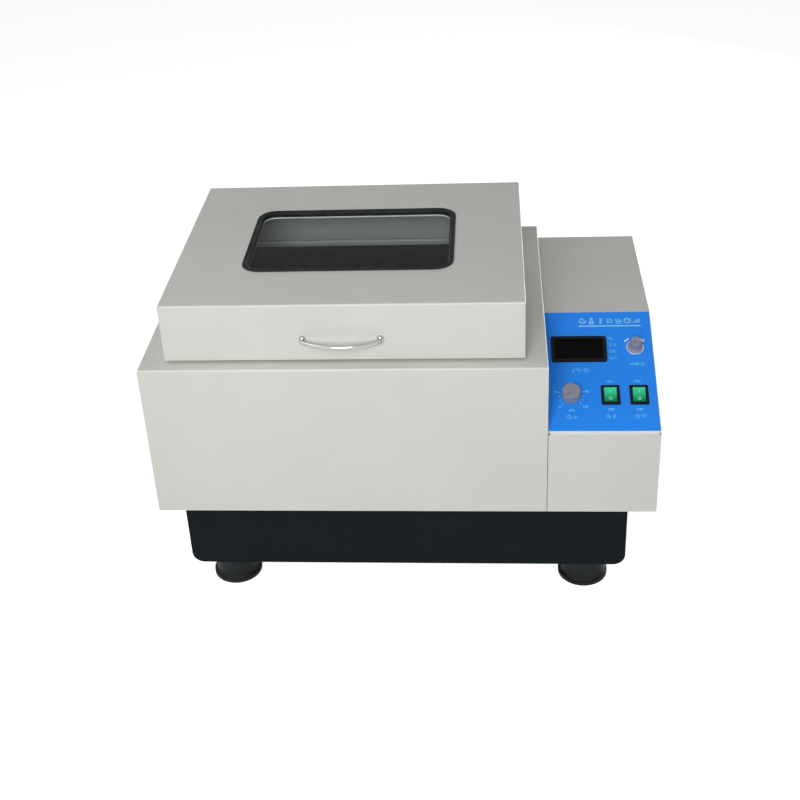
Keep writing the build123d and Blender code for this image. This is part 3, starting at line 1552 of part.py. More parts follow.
# Motor with a ribbed frame between two plain end bells.
with BuildPart() as drive_motor:
    with BuildSketch(Plane.XY.offset(z_motor)):
        with Locations(motor_point):
            Circle(motor_radius)
    extrude(amount=motor_length)
    with BuildSketch(Plane.XY.offset(z_motor + motor_bell_height)):
        with Locations(motor_point):
            with PolarLocations(motor_radius, motor_ribs):
                Rectangle(2 * motor_rib_depth, 2 * motor_rib_depth)
    extrude(amount=motor_length - 2 * motor_bell_height, mode=Mode.SUBTRACT)
    with BuildSketch(Plane.XY.offset(z_motor)):
        with Locations(motor_point):
            Circle(motor_shaft_radius + running_gap)
    extrude(amount=motor_shaft_seat + fit_gap, mode=Mode.SUBTRACT)
drive_motor.part.label = "drive_motor"
export_step(drive_motor.part, "parts/drive_motor.step")

# Plate that hangs the motor from the chassis, with slots for tensioning the belt.
with BuildPart() as motor_bracket:
    with BuildSketch(Plane.XY.offset(z_motor_top)):
        with Locations(motor_point):
            RectangleRounded(*bracket_size, bend_radius)
            with GridLocations(*bracket_slot_spacing, 2, 2):
                SlotOverall(*bracket_slot, mode=Mode.SUBTRACT)
    extrude(amount=z_base_top - z_motor_top)
motor_bracket.part.label = "motor_bracket"
export_step(motor_bracket.part, "parts/motor_bracket.step")


# ---- Tray, its bearings and the flask rack ----

pin_points = [(drive_x + orbit_radius, drive_y)] + [(x + orbit_radius, y) for x, y in idler_points]
idler_seat = tray_idler_bearing[1] + running_gap
main_seat = tray_main_bearing[1] + running_gap

# Pressed tray with a turned-down lip; four bearing hubs are welded below it.
with BuildPart() as tray_carrier:
    with BuildSketch(Plane.XY.offset(z_tray - tray_lip + tray_thickness)):
        rounded(tray_x, tray_y, tray_corner_radius)
    extrude(amount=tray_lip)
    with BuildSketch(Plane.XY.offset(z_tray - tray_lip + tray_thickness)):
        rounded(
            inset(tray_x, tray_thickness),
            inset(tray_y, tray_thickness),
            tray_corner_radius - tray_thickness,
        )
    extrude(amount=tray_lip - tray_thickness, mode=Mode.SUBTRACT)
    with BuildSketch(Plane.XY.offset(z_tray)):
        with Locations(pin_points[0]):
            Circle(main_seat + tray_hub_wall)
        with Locations(*pin_points[1:]):
            Circle(idler_seat + tray_hub_wall)
    extrude(amount=z_hub_bottom - z_tray)
    with BuildSketch(Plane.XY.offset(z_tray)):
        with Locations(pin_points[0]):
            Circle(main_seat)
        with Locations(*pin_points[1:]):
            Circle(idler_seat)
    extrude(amount=z_hub_bottom - z_tray, mode=Mode.SUBTRACT)
tray_carrier.part.label = "tray_carrier"
export_step(tray_carrier.part, "parts/tray_carrier.step")

z_tray_bearing = z_tray - hub_gap
with BuildPart() as tray_main_ring:
    with BuildSketch(Plane.XZ):
        with BuildLine():
            Polyline(
                *bearing_outline(
                    tray_main_bearing[0] + running_gap,
                    tray_main_bearing[1],
                    tray_main_bearing[2],
                    z_tray_bearing - tray_main_bearing[2],
                ),
                close=True,
            )
        make_face()
    revolve(axis=Axis.Z)
with BuildPart() as tray_idler_ring:
    with BuildSketch(Plane.XZ):
        with BuildLine():
            Polyline(
                *bearing_outline(
                    tray_idler_bearing[0] + idler_pin_gap,
                    tray_idler_bearing[1],
                    tray_idler_bearing[2],
                    z_tray_bearing - tray_idler_bearing[2],
                ),
                close=True,
            )
        make_face()
    revolve(axis=Axis.Z)
with BuildPart() as tray_bearings:
    with Locations(pin_points[0]):
        add(tray_main_ring.part)
    with Locations(*pin_points[1:]):
        add(tray_idler_ring.part)
tray_bearings.part.label = "tray_bearings"
export_step(tray_bearings.part, "parts/tray_bearings.step")

# Flask rack: a rectangular frame of flat bar on four angle legs.
z_tray_top = z_tray + tray_thickness
with BuildPart() as rack_frame:
    with BuildSketch(Plane.XY.offset(z_rail)):
        ring(rack_x, rack_y, rack_bar)
    extrude(amount=rack_bar_height)
    for x_side in (0, 1):
        for y_side in (0, 1):
            x_inward = 1 - 2 * x_side
            y_inward = 1 - 2 * y_side
            corner_x = rack_x[x_side]
            corner_y = rack_y[y_side]
            long_x = sorted((corner_x, corner_x + x_inward * rack_leg_width))
            long_y = sorted((corner_y, corner_y + y_inward * rack_leg_width))
            thin_x = sorted((corner_x, corner_x + x_inward * rack_bar))
            thin_y = sorted((corner_y, corner_y + y_inward * rack_bar))
            block(long_x, thin_y, (z_tray_top, z_rail))
            block(thin_x, long_y, (z_tray_top, z_rail))
            block(long_x, long_y, (z_tray_top, z_tray_top + rack_bar))
rack_frame.part.label = "rack_frame"
export_step(rack_frame.part, "parts/rack_frame.step")

# Tension springs that grip the flasks, as plain rods of the springs' outer size.
spring_x = inset(rack_x, rack_bar)
spring_y = inset(rack_y, rack_bar)
row_pitch = length(spring_y) / (spring_rows + 1)
column_pitch = length(spring_x) / (spring_columns + 1)
with BuildPart() as rack_springs:
    with BuildSketch(Plane.YZ.offset(spring_x[0])):
        with Locations((mid(spring_y), z_row_spring)):
            with GridLocations(row_pitch, 0, spring_rows, 1):
                Circle(spring_radius)
    extrude(amount=length(spring_x))
    with BuildSketch(Plane.XZ.offset(-spring_y[0])):
        with Locations((mid(spring_x), z_column_spring)):
            with GridLocations(column_pitch, 0, spring_columns, 1):
                Circle(spring_radius)
    extrude(amount=-length(spring_y))
rack_springs.part.label = "rack_springs"
export_step(rack_springs.part, "parts/rack_springs.step")


# ---- Air duct: cover, fan, heater and probe ----

# Folded cover on the back wall, with air slots at both sides and an inlet rosette at the fan.
with BuildPart() as duct_cover:
    for cut in (0, duct_sheet):
        with BuildSketch(Plane.XY.offset(z_duct[0])):
            with Locations((mid(duct_x), mid(duct_y))):
                Rectangle(length(duct_x) - 2 * cut, length(duct_y) - 2 * cut)
            fillet(vertices().group_by(Axis.Y)[-1], duct_corner_radius - cut)
        extrude(amount=length(z_duct) - cut, mode=Mode.SUBTRACT if cut else Mode.ADD)
    block(
        inset(duct_x, duct_corner_radius),
        (duct_y[1] - duct_sheet, duct_y[1]),
        (z_duct[0], z_duct[1] - duct_sheet),
        mode=Mode.SUBTRACT,
    )
    with BuildSketch(Plane.XZ.offset(-duct_y[0])):
        for side in (-1, 1):
            with Locations((mid(duct_x) + side * duct_slot_offset, mid(z_duct))):
                with GridLocations(duct_slot_pitch, 0, duct_slot_count, 1):
                    SlotOverall(duct_slot[1], duct_slot[0], 90)
        with Locations((fan_x, z_fan)):
            Circle(fan_hub_radius)
            with PolarLocations(fan_inlet_ring, fan_inlet_slots):
                SlotOverall(*fan_inlet_slot)
        with Locations((probe_x, z_probe)):
            Circle(probe_radius + fit_gap)
    extrude(amount=-duct_sheet, mode=Mode.SUBTRACT)
duct_cover.part.label = "duct_cover"
export_step(duct_cover.part, "parts/duct_cover.step")

# Radial fan: back plate, hub with its shaft, straight blades.
fan_front_y = fan_back_y - fan_thickness
with BuildPart() as fan_impeller:
    with BuildSketch(Plane.XZ.offset(-fan_back_y)):
        with Locations((fan_x, z_fan)):
            Circle(fan_radius)
    extrude(amount=fan_plate)
    with BuildSketch(Plane.XZ.offset(-fan_back_y)):
        with Locations((fan_x, z_fan)):
            Circle(fan_hub_radius)
    extrude(amount=fan_thickness)
    with BuildSketch(Plane.XZ.offset(-fan_back_y)):
        with Locations((fan_x, z_fan)):
            with PolarLocations(fan_blade_radius, fan_blades):
                Rectangle(fan_blade_length, fan_blade_thickness, fan_blade_angle)
    extrude(amount=fan_thickness)
    with BuildSketch(Plane.XZ.offset(-fan_back_y)):
        with Locations((fan_x, z_fan)):
            Circle(fan_shaft_radius)
    extrude(amount=-(fan_wall_gap + liner_sheet + fan_shaft_seat))
fan_impeller.part.label = "fan_impeller"
export_step(fan_impeller.part, "parts/fan_impeller.step")

with BuildPart() as fan_motor:
    with BuildSketch(Plane.XZ.offset(-liner_y[1])):
        with Locations((fan_x, z_fan)):
            Circle(fan_motor_radius)
    extrude(amount=-fan_motor_length)
    with BuildSketch(Plane.XZ.offset(-liner_y[1])):
        with Locations((fan_x, z_fan)):
            Circle(fan_shaft_radius + running_gap)
    extrude(amount=-(fan_shaft_seat + fit_gap), mode=Mode.SUBTRACT)
fan_motor.part.label = "fan_motor"
export_step(fan_motor.part, "parts/fan_motor.step")

# Tubular heater: out of the back wall, along the duct, round and back to the wall.
heater_end_y = liner_y[1] + heater_terminal
with BuildPart() as heater_element:
    with BuildLine() as heater_path:
        FilletPolyline(
            (heater_x[0], heater_end_y, z_heater[1]),
            (heater_x[0], heater_y, z_heater[1]),
            (heater_x[1], heater_y, z_heater[1]),
            (heater_x[1], heater_y, z_heater[0]),
            (heater_x[0], heater_y, z_heater[0]),
            (heater_x[0], heater_end_y, z_heater[0]),
            radius=heater_bend,
        )
    with BuildSketch(heater_path.line ^ 0):
        Circle(heater_radius)
    sweep()
heater_element.part.label = "heater_element"
export_step(heater_element.part, "parts/heater_element.step")

with BuildPart() as temperature_probe:
    with BuildSketch(Plane.XZ.offset(-(duct_y[0] - probe_reach))):
        with Locations((probe_x, z_probe)):
            Circle(probe_radius)
    extrude(amount=-(probe_reach + duct_depth + liner_sheet + heater_terminal))
    with BuildSketch(Plane.XZ.offset(-duct_y[0])):
        with Locations((probe_x, z_probe)):
            RegularPolygon(probe_gland_radius, 6)
    extrude(amount=probe_gland_length)
temperature_probe.part.label = "temperature_probe"
export_step(temperature_probe.part, "parts/temperature_probe.step")
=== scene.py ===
"""Looks of an incubated benchtop shaker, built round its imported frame. Lengths are in metres."""

import math

import bmesh
import bpy
from mathutils import Matrix, Vector


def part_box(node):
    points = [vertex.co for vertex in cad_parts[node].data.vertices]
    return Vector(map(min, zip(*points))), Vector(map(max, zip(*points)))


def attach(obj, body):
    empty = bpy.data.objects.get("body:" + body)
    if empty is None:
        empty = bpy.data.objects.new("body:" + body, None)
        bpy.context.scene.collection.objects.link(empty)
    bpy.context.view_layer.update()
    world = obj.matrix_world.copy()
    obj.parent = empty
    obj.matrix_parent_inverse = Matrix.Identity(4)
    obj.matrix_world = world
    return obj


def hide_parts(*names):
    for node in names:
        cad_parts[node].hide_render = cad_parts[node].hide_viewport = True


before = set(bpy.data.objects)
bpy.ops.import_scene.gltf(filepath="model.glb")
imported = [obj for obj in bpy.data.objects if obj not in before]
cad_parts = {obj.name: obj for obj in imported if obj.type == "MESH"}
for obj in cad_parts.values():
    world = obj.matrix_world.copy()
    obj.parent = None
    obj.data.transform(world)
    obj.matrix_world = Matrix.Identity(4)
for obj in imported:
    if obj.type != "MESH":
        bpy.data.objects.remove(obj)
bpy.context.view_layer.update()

MM = 0.001
PANEL_ORIGIN = Vector((200.0, -221.75, 295.0)) * MM
PANEL_SLOPE = math.radians(23.454)
PANEL_FACE = 0.8


# ---- Finishes ----


def rgb(*levels):
    """Linear colour of three display levels from 0 to 255."""
    return tuple(((v / 255 + 0.055) / 1.055) ** 2.4 for v in levels)


def finish(name, colour, roughness, metallic=0.0, **sockets):
    """A new material with a plain shader; sockets are its other inputs, with _ for a space."""
    made = bpy.data.materials.new(name)
    made.use_nodes = True
    shader = made.node_tree.nodes["Principled BSDF"]
    shader.inputs["Base Color"].default_value = (*colour, 1.0)
    shader.inputs["Roughness"].default_value = roughness
    shader.inputs["Metallic"].default_value = metallic
    for socket, value in sockets.items():
        shader.inputs[socket.replace("_", " ")].default_value = value
    return made


def shader_of(made):
    return made.node_tree.nodes["Principled BSDF"]


def grain(made, scale, detail=3.0, stretch=(1.0, 1.0, 1.0)):
    """Noise over the piece's own place; stretch draws it out into streaks."""
    nodes = made.node_tree.nodes
    links = made.node_tree.links
    place = nodes.new("ShaderNodeTexCoord")
    mapping = nodes.new("ShaderNodeMapping")
    mapping.inputs["Scale"].default_value = stretch
    noise = nodes.new("ShaderNodeTexNoise")
    noise.inputs["Scale"].default_value = scale
    noise.inputs["Detail"].default_value = detail
    links.new(place.outputs["Object"], mapping.inputs["Vector"])
    links.new(mapping.outputs["Vector"], noise.inputs["Vector"])
    return noise.outputs["Fac"]


def cells(made, scale):
    """Cells of random tone, as in the spangle of zinc."""
    nodes = made.node_tree.nodes
    links = made.node_tree.links
    place = nodes.new("ShaderNodeTexCoord")
    cell = nodes.new("ShaderNodeTexVoronoi")
    cell.inputs["Scale"].default_value = scale
    links.new(place.outputs["Object"], cell.inputs["Vector"])
    return cell.outputs["Color"]


def slope_run(made, start, end):
    """Runs from 0 to 1 up the sloped panel, between two of its own millimetres."""
    nodes = made.node_tree.nodes
    links = made.node_tree.links
    place = nodes.new("ShaderNodeTexCoord")
    along = nodes.new("ShaderNodeVectorMath")
    along.operation = "DOT_PRODUCT"
    along.inputs[1].default_value = (0.0, math.cos(PANEL_SLOPE), math.sin(PANEL_SLOPE))
    spread = nodes.new("ShaderNodeMapRange")
    foot = PANEL_ORIGIN.y * math.cos(PANEL_SLOPE) + PANEL_ORIGIN.z * math.sin(PANEL_SLOPE)
    spread.inputs["From Min"].default_value = foot + start * MM
    spread.inputs["From Max"].default_value = foot + end * MM
    links.new(place.outputs["Object"], along.inputs[0])
    links.new(along.outputs["Value"], spread.inputs["Value"])
    return spread.outputs["Result"]


def toned(made, pattern, *stops):
    """Colour the finish by a pattern: stops are two pairs of position and colour."""
    nodes = made.node_tree.nodes
    ramp = nodes.new("ShaderNodeValToRGB")
    for stop, (position, colour) in zip(ramp.color_ramp.elements, stops):
        stop.position = position
        stop.color = (*colour, 1.0)
    made.node_tree.links.new(pattern, ramp.inputs["Fac"])
    made.node_tree.links.new(ramp.outputs["Color"], shader_of(made).inputs["Base Color"])


def varied(made, pattern, low, high, start=0.3, end=0.7):
    """Let the roughness run from low to high with a pattern."""
    spread = made.node_tree.nodes.new("ShaderNodeMapRange")
    spread.inputs["From Min"].default_value = start
    spread.inputs["From Max"].default_value = end
    spread.inputs["To Min"].default_value = low
    spread.inputs["To Max"].default_value = high
    made.node_tree.links.new(pattern, spread.inputs["Value"])
    made.node_tree.links.new(spread.outputs["Result"], shader_of(made).inputs["Roughness"])


def raised(made, pattern, height, strength):
    """Relief of a pattern, in metres of height."""
    bump = made.node_tree.nodes.new("ShaderNodeBump")
    bump.inputs["Distance"].default_value = height
    bump.inputs["Strength"].default_value = strength
    made.node_tree.links.new(pattern, bump.inputs["Height"])
    made.node_tree.links.new(bump.outputs["Normal"], shader_of(made).inputs["Normal"])


def dimmed(colour, share):
    return tuple(channel * share for channel in colour)


def sprayed_enamel(name, colour, roughness, peel=0.00003, mottle=0.03, **sockets):
    """Stove enamel on sheet: faint orange peel, slow clouds in tone and gloss."""
    made = finish(name, colour, roughness, **sockets)
    cloud = grain(made, 7.0, 4.0)
    toned(made, cloud, (0.3, dimmed(colour, 1 - mottle)), (0.7, dimmed(colour, 1 + mottle / 2)))
    varied(made, grain(made, 22.0, 3.0), roughness - 0.05, roughness + 0.07)
    raised(made, grain(made, 700.0, 2.0), peel, 0.5)
    return made


def moulded_rubber(name, colour, bloom):
    """Rubber with a pale bloom in patches and a fine matt skin."""
    made = finish(name, colour, 0.6, Specular_IOR_Level=0.15)
    toned(made, grain(made, 30.0, 5.0), (0.38, colour), (0.72, bloom))
    varied(made, grain(made, 60.0, 3.0), 0.5, 0.72)
    raised(made, grain(made, 1500.0, 2.0), 0.00004, 0.6)
    return made


def rolled_steel(name, colour, roughness, stretch, streak=900.0):
    """Brushed sheet: long streaks in gloss and tone along the rolling direction."""
    made = finish(name, colour, roughness, 1.0)
    line = grain(made, streak, 2.0, stretch)
    toned(made, grain(made, 9.0, 3.0), (0.3, dimmed(colour, 0.88)), (0.7, colour))
    varied(made, line, roughness - 0.05, roughness + 0.07)
    raised(made, line, 0.000003, 0.5)
    return made


def galvanised(name, colour):
    """Zinc-plated steel with a faint spangle."""
    made = finish(name, colour, 0.36, 1.0)
    toned(made, cells(made, 420.0), (0.1, dimmed(colour, 0.88)), (0.9, colour))
    varied(made, grain(made, 80.0, 3.0), 0.28, 0.48)
    raised(made, grain(made, 500.0, 2.0), 0.00001, 0.5)
    return made


def moulded_plastic(name, colour, roughness, gloss):
    """Moulded plastic with a fine spark-eroded skin."""
    made = finish(name, colour, roughness, Specular_IOR_Level=gloss)
    toned(made, grain(made, 40.0, 3.0), (0.3, dimmed(colour, 0.96)), (0.7, dimmed(colour, 1.04)))
    varied(made, grain(made, 140.0, 2.0), roughness - 0.05, roughness + 0.08)
    raised(made, grain(made, 1800.0, 2.0), 0.00002, 0.6)
    return made


def speckled(name, low, middle, high, roughness, scale=500.0, detail=2.0, top=0.7, **sockets):
    """Ink or paint with a fine speck; low, middle and high are display levels."""
    made = finish(name, rgb(*middle), roughness, **sockets)
    toned(made, grain(made, scale, detail), (0.3, rgb(*low)), (top, rgb(*high)))
    return made


def let_lamps_through(made, tint):
    """Glass that lamps and soft light shine through, so what is behind it is lit plainly."""
    nodes = made.node_tree.nodes
    links = made.node_tree.links
    path = nodes.new("ShaderNodeLightPath")
    open_side = nodes.new("ShaderNodeBsdfTransparent")
    open_side.inputs["Color"].default_value = (*tint, 1.0)
    lighting = nodes.new("ShaderNodeMath")
    lighting.operation = "MAXIMUM"
    mix = nodes.new("ShaderNodeMixShader")
    links.new(path.outputs["Is Shadow Ray"], lighting.inputs[0])
    links.new(path.outputs["Is Diffuse Ray"], lighting.inputs[1])
    links.new(lighting.outputs["Value"], mix.inputs["Fac"])
    links.new(shader_of(made).outputs["BSDF"], mix.inputs[1])
    links.new(open_side.outputs["BSDF"], mix.inputs[2])
    links.new(mix.outputs["Shader"], nodes["Material Output"].inputs["Surface"])


ENAMEL_WHITE = rgb(206, 207, 201)
ENAMEL_BLACK = rgb(15, 22, 25)
PANEL_BLUE = (0.024, 0.278, 1.0)

white_paint = sprayed_enamel(
    "white_enamel", ENAMEL_WHITE, 0.4, Coat_Weight=0.12, Coat_Roughness=0.2
)
black_paint = sprayed_enamel(
    "black_enamel", ENAMEL_BLACK, 0.5, 0.00005, 0.12, Specular_IOR_Level=0.06
)
# Near-black paint for the duct cover and outlet grille, darker than the black enamel: their own
# black together with painted shade for the unlit depth of the chamber seen through the window.
duct_black_and_shade = sprayed_enamel(
    "duct_black_painted_shade", rgb(8, 13, 14), 0.6, 0.00005, 0.12, Specular_IOR_Level=0.04
)
panel_blue = sprayed_enamel(
    "printed_blue_film", PANEL_BLUE, 0.45, 0.00001, 0.02, Specular_IOR_Level=0.2
)
motor_paint = sprayed_enamel("motor_grey_enamel", rgb(86, 98, 108), 0.4)
rubber_black = moulded_rubber("black_rubber", rgb(22, 24, 26), rgb(36, 40, 42))
rubber_grey = moulded_rubber("grey_rubber", rgb(120, 122, 122), rgb(140, 142, 140))
stainless = rolled_steel("brushed_stainless", (0.60, 0.61, 0.60), 0.3, (1.0, 0.06, 1.0))
liner_steel = rolled_steel("satin_liner_steel", (0.32, 0.335, 0.33), 0.5, (0.08, 1.0, 1.0), 600.0)
shader_of(liner_steel).inputs["Metallic"].default_value = 0.3
zinc_steel = galvanised("zinc_plated_steel", (0.62, 0.64, 0.66))
black_plastic = moulded_plastic("black_plastic", rgb(16, 20, 24), 0.4, 0.1)
grey_plastic = moulded_plastic("grey_plastic", rgb(142, 144, 161), 0.5, 0.25)

# Painted shade: the chrome is set darker than bright chrome, for the darker surroundings its polish
# would reflect.
chrome = finish("handle_chrome", (0.44, 0.43, 0.41), 0.12, 1.0)
varied(chrome, grain(chrome, 45.0, 4.0), 0.08, 0.18)
toned(chrome, grain(chrome, 25.0, 2.0), (0.3, (0.38, 0.37, 0.35)), (0.7, (0.50, 0.49, 0.47)))

turned_aluminium = finish("turned_aluminium", (0.77, 0.78, 0.79), 0.3, 1.0)
varied(turned_aluminium, grain(turned_aluminium, 900.0, 2.0, (1.0, 1.0, 0.2)), 0.22, 0.42)
toned(
    turned_aluminium, grain(turned_aluminium, 30.0, 3.0),
    (0.3, (0.68, 0.69, 0.70)), (0.7, (0.80, 0.81, 0.82)),
)

cast_iron = finish("cast_iron", rgb(70, 70, 68), 0.6, 0.6)
toned(cast_iron, grain(cast_iron, 60.0, 5.0), (0.35, rgb(58, 58, 57)), (0.7, rgb(92, 90, 86)))
varied(cast_iron, grain(cast_iron, 200.0, 3.0), 0.5, 0.75)
raised(cast_iron, grain(cast_iron, 420.0, 5.0), 0.0002, 0.7)

rocker_green = finish(
    "rocker_green", rgb(40, 186, 128), 0.35, Specular_IOR_Level=0.12,
    Subsurface_Weight=0.2, Subsurface_Scale=0.004,
)
# Painted light and shade: the rocker face runs from darker green at its foot to lighter green at
# its top, as its upper half catches more light.
toned(
    rocker_green, slope_run(rocker_green, 50.0, 71.0),
    (0.1, rgb(8, 132, 88)), (0.9, rgb(58, 216, 158)),
)
raised(rocker_green, grain(rocker_green, 900.0, 2.0), 0.00001, 0.4)

display_filter = finish(
    "dark_red_filter", (0.10, 0.012, 0.012), 0.05, Transmission_Weight=1.0, IOR=1.12
)
varied(display_filter, grain(display_filter, 60.0, 3.0), 0.03, 0.09)
let_lamps_through(display_filter, (0.10, 0.012, 0.012))

window_glass = finish(
    "window_glass", (0.88, 0.91, 0.90), 0.0, Transmission_Weight=1.0, IOR=1.07
)
varied(window_glass, grain(window_glass, 12.0, 3.0), 0.0, 0.02, start=0.5, end=0.8)
let_lamps_through(window_glass, (0.88, 0.91, 0.90))

board_green = finish("circuit_board_green", rgb(24, 84, 52), 0.35, Coat_Weight=0.4)
toned(board_green, grain(board_green, 180.0, 4.0), (0.4, rgb(20, 74, 46)), (0.6, rgb(34, 100, 62)))
raised(board_green, grain(board_green, 700.0, 2.0), 0.00003, 0.5)

wool = finish("mineral_wool", rgb(196, 186, 150), 0.95, Sheen_Weight=0.3)
toned(wool, grain(wool, 240.0, 6.0), (0.3, rgb(168, 158, 122)), (0.7, rgb(212, 204, 172)))
raised(wool, grain(wool, 300.0, 6.0), 0.001, 0.8)

FINISHES = {
    "white_paint": white_paint,
    "black_paint": black_paint,
    "panel_blue": panel_blue,
    "rubber_black": rubber_black,
    "rubber_grey": rubber_grey,
    "stainless": stainless,
    "zinc_steel": zinc_steel,
    "chrome": chrome,
    "machined_aluminium": turned_aluminium,
    "iron": cast_iron,
    "motor_paint": motor_paint,
    "black_plastic": black_plastic,
    "grey_plastic": grey_plastic,
    "rocker_plastic": rocker_green,
    "display_filter": display_filter,
    "window_glass": window_glass,
    "board_green": board_green,
    "wool": wool,
}

for cad_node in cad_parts.values():
    for holder in cad_node.material_slots:
        holder.material = FINISHES[holder.material.name.split(".")[0]]
for name in ("chamber_liner", "lid_liner"):
    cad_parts[name].material_slots[0].material = liner_steel
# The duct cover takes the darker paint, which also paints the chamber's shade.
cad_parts["duct_cover"].material_slots[0].material = duct_black_and_shade

print_white = speckled(
    "panel_print", (138, 206, 255), (148, 214, 255), (160, 222, 255), 0.5, top=0.6,
    Specular_IOR_Level=0.2,
)
print_pale = speckled(
    "panel_small_print", (100, 190, 255), (110, 196, 255), (120, 204, 255), 0.5, top=0.6,
    Specular_IOR_Level=0.2,
)
pointer_dark = speckled("pointer_paint", (78, 74, 78), (84, 80, 84), (92, 88, 92), 0.5)
mark_green = speckled("rocker_mark", (140, 228, 186), (150, 236, 196), (160, 240, 204), 0.4)
# Near-white ink for the speed arrow. The same white is also a painted highlight on the panel's
# lower fold and round the window glass.
white_print_and_highlight = speckled(
    "white_print_and_highlight", (228, 233, 240), (236, 240, 246), (240, 243, 248), 0.35, 60.0, 3.0
)
segment_dark = speckled("unlit_segment", (88, 60, 57), (96, 66, 62), (104, 72, 68), 0.5, 400.0)


# ---- Making and placing pieces ----


def settle(shape, name, material, body, stands_for=None, crease=35.0):
    """Close a bmesh into a piece that rides on a body of the frame."""
    bmesh.ops.remove_doubles(shape, verts=shape.verts, dist=1e-7)
    bmesh.ops.recalc_face_normals(shape, faces=shape.faces)
    mesh = bpy.data.meshes.new(name)
    shape.to_mesh(mesh)
    shape.free()
    mesh.shade_smooth()
    mesh.set_sharp_from_angle(angle=math.radians(crease))
    mesh.materials.append(material)
    piece = bpy.data.objects.new(name, mesh)
    bpy.context.scene.collection.objects.link(piece)
    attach(piece, body)
    if stands_for:
        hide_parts(stands_for)
    return piece


def add(shape, part):
    """Put one bmesh into another and free it."""
    mesh = bpy.data.meshes.new("part")
    part.to_mesh(mesh)
    part.free()
    shape.from_mesh(mesh)
    bpy.data.meshes.remove(mesh)


def score(shape, at, normal):
    """Divide the faces of a shape where a plane meets them."""
    everything = list(shape.verts) + list(shape.edges) + list(shape.faces)
    bmesh.ops.bisect_plane(shape, geom=everything, plane_co=at, plane_no=normal)


# ---- Panel plane and print ----

PANEL = Matrix.Translation(PANEL_ORIGIN) @ Matrix.Rotation(PANEL_SLOPE, 4, "X")
PANEL = PANEL @ Matrix.Scale(MM, 4)


def on_panel(x, s, n=PANEL_FACE):
    """Place on the sloped panel, in its own millimetres, as a matrix."""
    return PANEL @ Matrix.Translation((x, s, n))


def bar(shape, start, end, width):
    """Flat stroke between two points."""
    a = Vector((*start, 0.0))
    b = Vector((*end, 0.0))
    turn = Matrix.Rotation(math.atan2(b.y - a.y, b.x - a.x), 4, "Z")
    size = Matrix.Diagonal(((b - a).length, width, 1.0, 1.0))
    place = Matrix.Translation((a + b) / 2) @ turn @ size
    bmesh.ops.create_grid(shape, x_segments=1, y_segments=1, size=0.5, matrix=place)


def arc(shape, centre, radius, width, start, sweep, steps=16):
    """Flat curved stroke, angles in degrees anticlockwise from the right."""
    turn = Matrix.Rotation(math.radians(start), 3, "Z")
    middle = Vector((*centre, 0.0))
    inner = shape.verts.new(middle + turn @ Vector((radius - width / 2, 0.0, 0.0)))
    outer = shape.verts.new(middle + turn @ Vector((radius + width / 2, 0.0, 0.0)))
    edge = shape.edges.new((inner, outer))
    bmesh.ops.spin(
        shape, geom=[inner, outer, edge], cent=middle, axis=(0.0, 0.0, 1.0),
        angle=math.radians(sweep), steps=steps, use_merge=sweep >= 360.0,
    )


def disc(shape, centre, radius, sides=16):
    bmesh.ops.create_circle(
        shape, cap_ends=True, segments=sides, radius=radius,
        matrix=Matrix.Translation((*centre, 0.0)),
    )


def words(shape, text, size, centre):
    """Flat letters from the built-in face, centred."""
    curve = bpy.data.curves.new("letters", "FONT")
    curve.body = text
    curve.size = size
    curve.align_x = "CENTER"
    curve.align_y = "CENTER"
    curve.resolution_u = 3
    curve.offset = size * 0.04
    holder = bpy.data.objects.new("letters", curve)
    bpy.context.scene.collection.objects.link(holder)
    bpy.context.view_layer.update()
    shown = holder.evaluated_get(bpy.context.evaluated_depsgraph_get())
    flat = bpy.data.meshes.new_from_object(shown)
    flat.transform(Matrix.Translation((*centre, 0.0)))
    shape.from_mesh(flat)
    bpy.data.objects.remove(holder)
    bpy.data.curves.remove(curve)
    bpy.data.meshes.remove(flat)


def printed(shape, name, material, body, place, height=0.05):
    """Give flat strokes their ink height and lay them in place."""
    bmesh.ops.remove_doubles(shape, verts=shape.verts, dist=1e-4)
    grown = bmesh.ops.extrude_face_region(shape, geom=list(shape.faces), use_keep_orig=True)
    moved = [v for v in grown["geom"] if isinstance(v, bmesh.types.BMVert)]
    bmesh.ops.translate(shape, verts=moved, vec=(0.0, 0.0, height))
    bmesh.ops.transform(shape, matrix=place, verts=shape.verts)
    return settle(shape, name, material, body)


STROKE = 0.14


def flask_mark(shape, x, s, size):
    """Conical flask in outline."""
    half = size / 2
    for start, end in (
        ((x - half * 0.75, s - half), (x + half * 0.75, s - half)),
        ((x - half * 0.75, s - half), (x - half * 0.2, s + half * 0.25)),
        ((x + half * 0.75, s - half), (x + half * 0.2, s + half * 0.25)),
        ((x - half * 0.2, s + half * 0.2), (x - half * 0.2, s + half)),
        ((x + half * 0.2, s + half * 0.2), (x + half * 0.2, s + half)),
        ((x - half * 0.35, s + half), (x + half * 0.35, s + half)),
        ((x - half * 0.5, s - half * 0.45), (x + half * 0.5, s - half * 0.45)),
    ):
        bar(shape, start, end, size * STROKE)


def orbit_mark(shape, x, s, size):
    """Circle with an arrow head and a centre dot."""
    arc(shape, (x, s), size * 0.4, size * STROKE, 60.0, 290.0, 20)
    tip = (x + size * 0.42, s - size * 0.18)
    bar(shape, tip, (x + size * 0.14, s - size * 0.12), size * STROKE)
    bar(shape, tip, (x + size * 0.50, s + size * 0.10), size * STROKE)
    disc(shape, (x, s), size * 0.1)


def thermometer_mark(shape, x, s, size):
    bar(shape, (x, s - size * 0.3), (x, s + size * 0.45), size * 0.16)
    disc(shape, (x, s - size * 0.32), size * 0.18)
    for step in range(3):
        level = s + size * (0.05 + 0.17 * step)
        bar(shape, (x + size * 0.16, level), (x + size * 0.32, level), size * 0.08)


def clock_mark(shape, x, s, size):
    arc(shape, (x, s), size * 0.42, size * STROKE, 0.0, 360.0, 24)
    bar(shape, (x, s), (x, s + size * 0.28), size * 0.1)
    bar(shape, (x, s), (x + size * 0.2, s), size * 0.1)


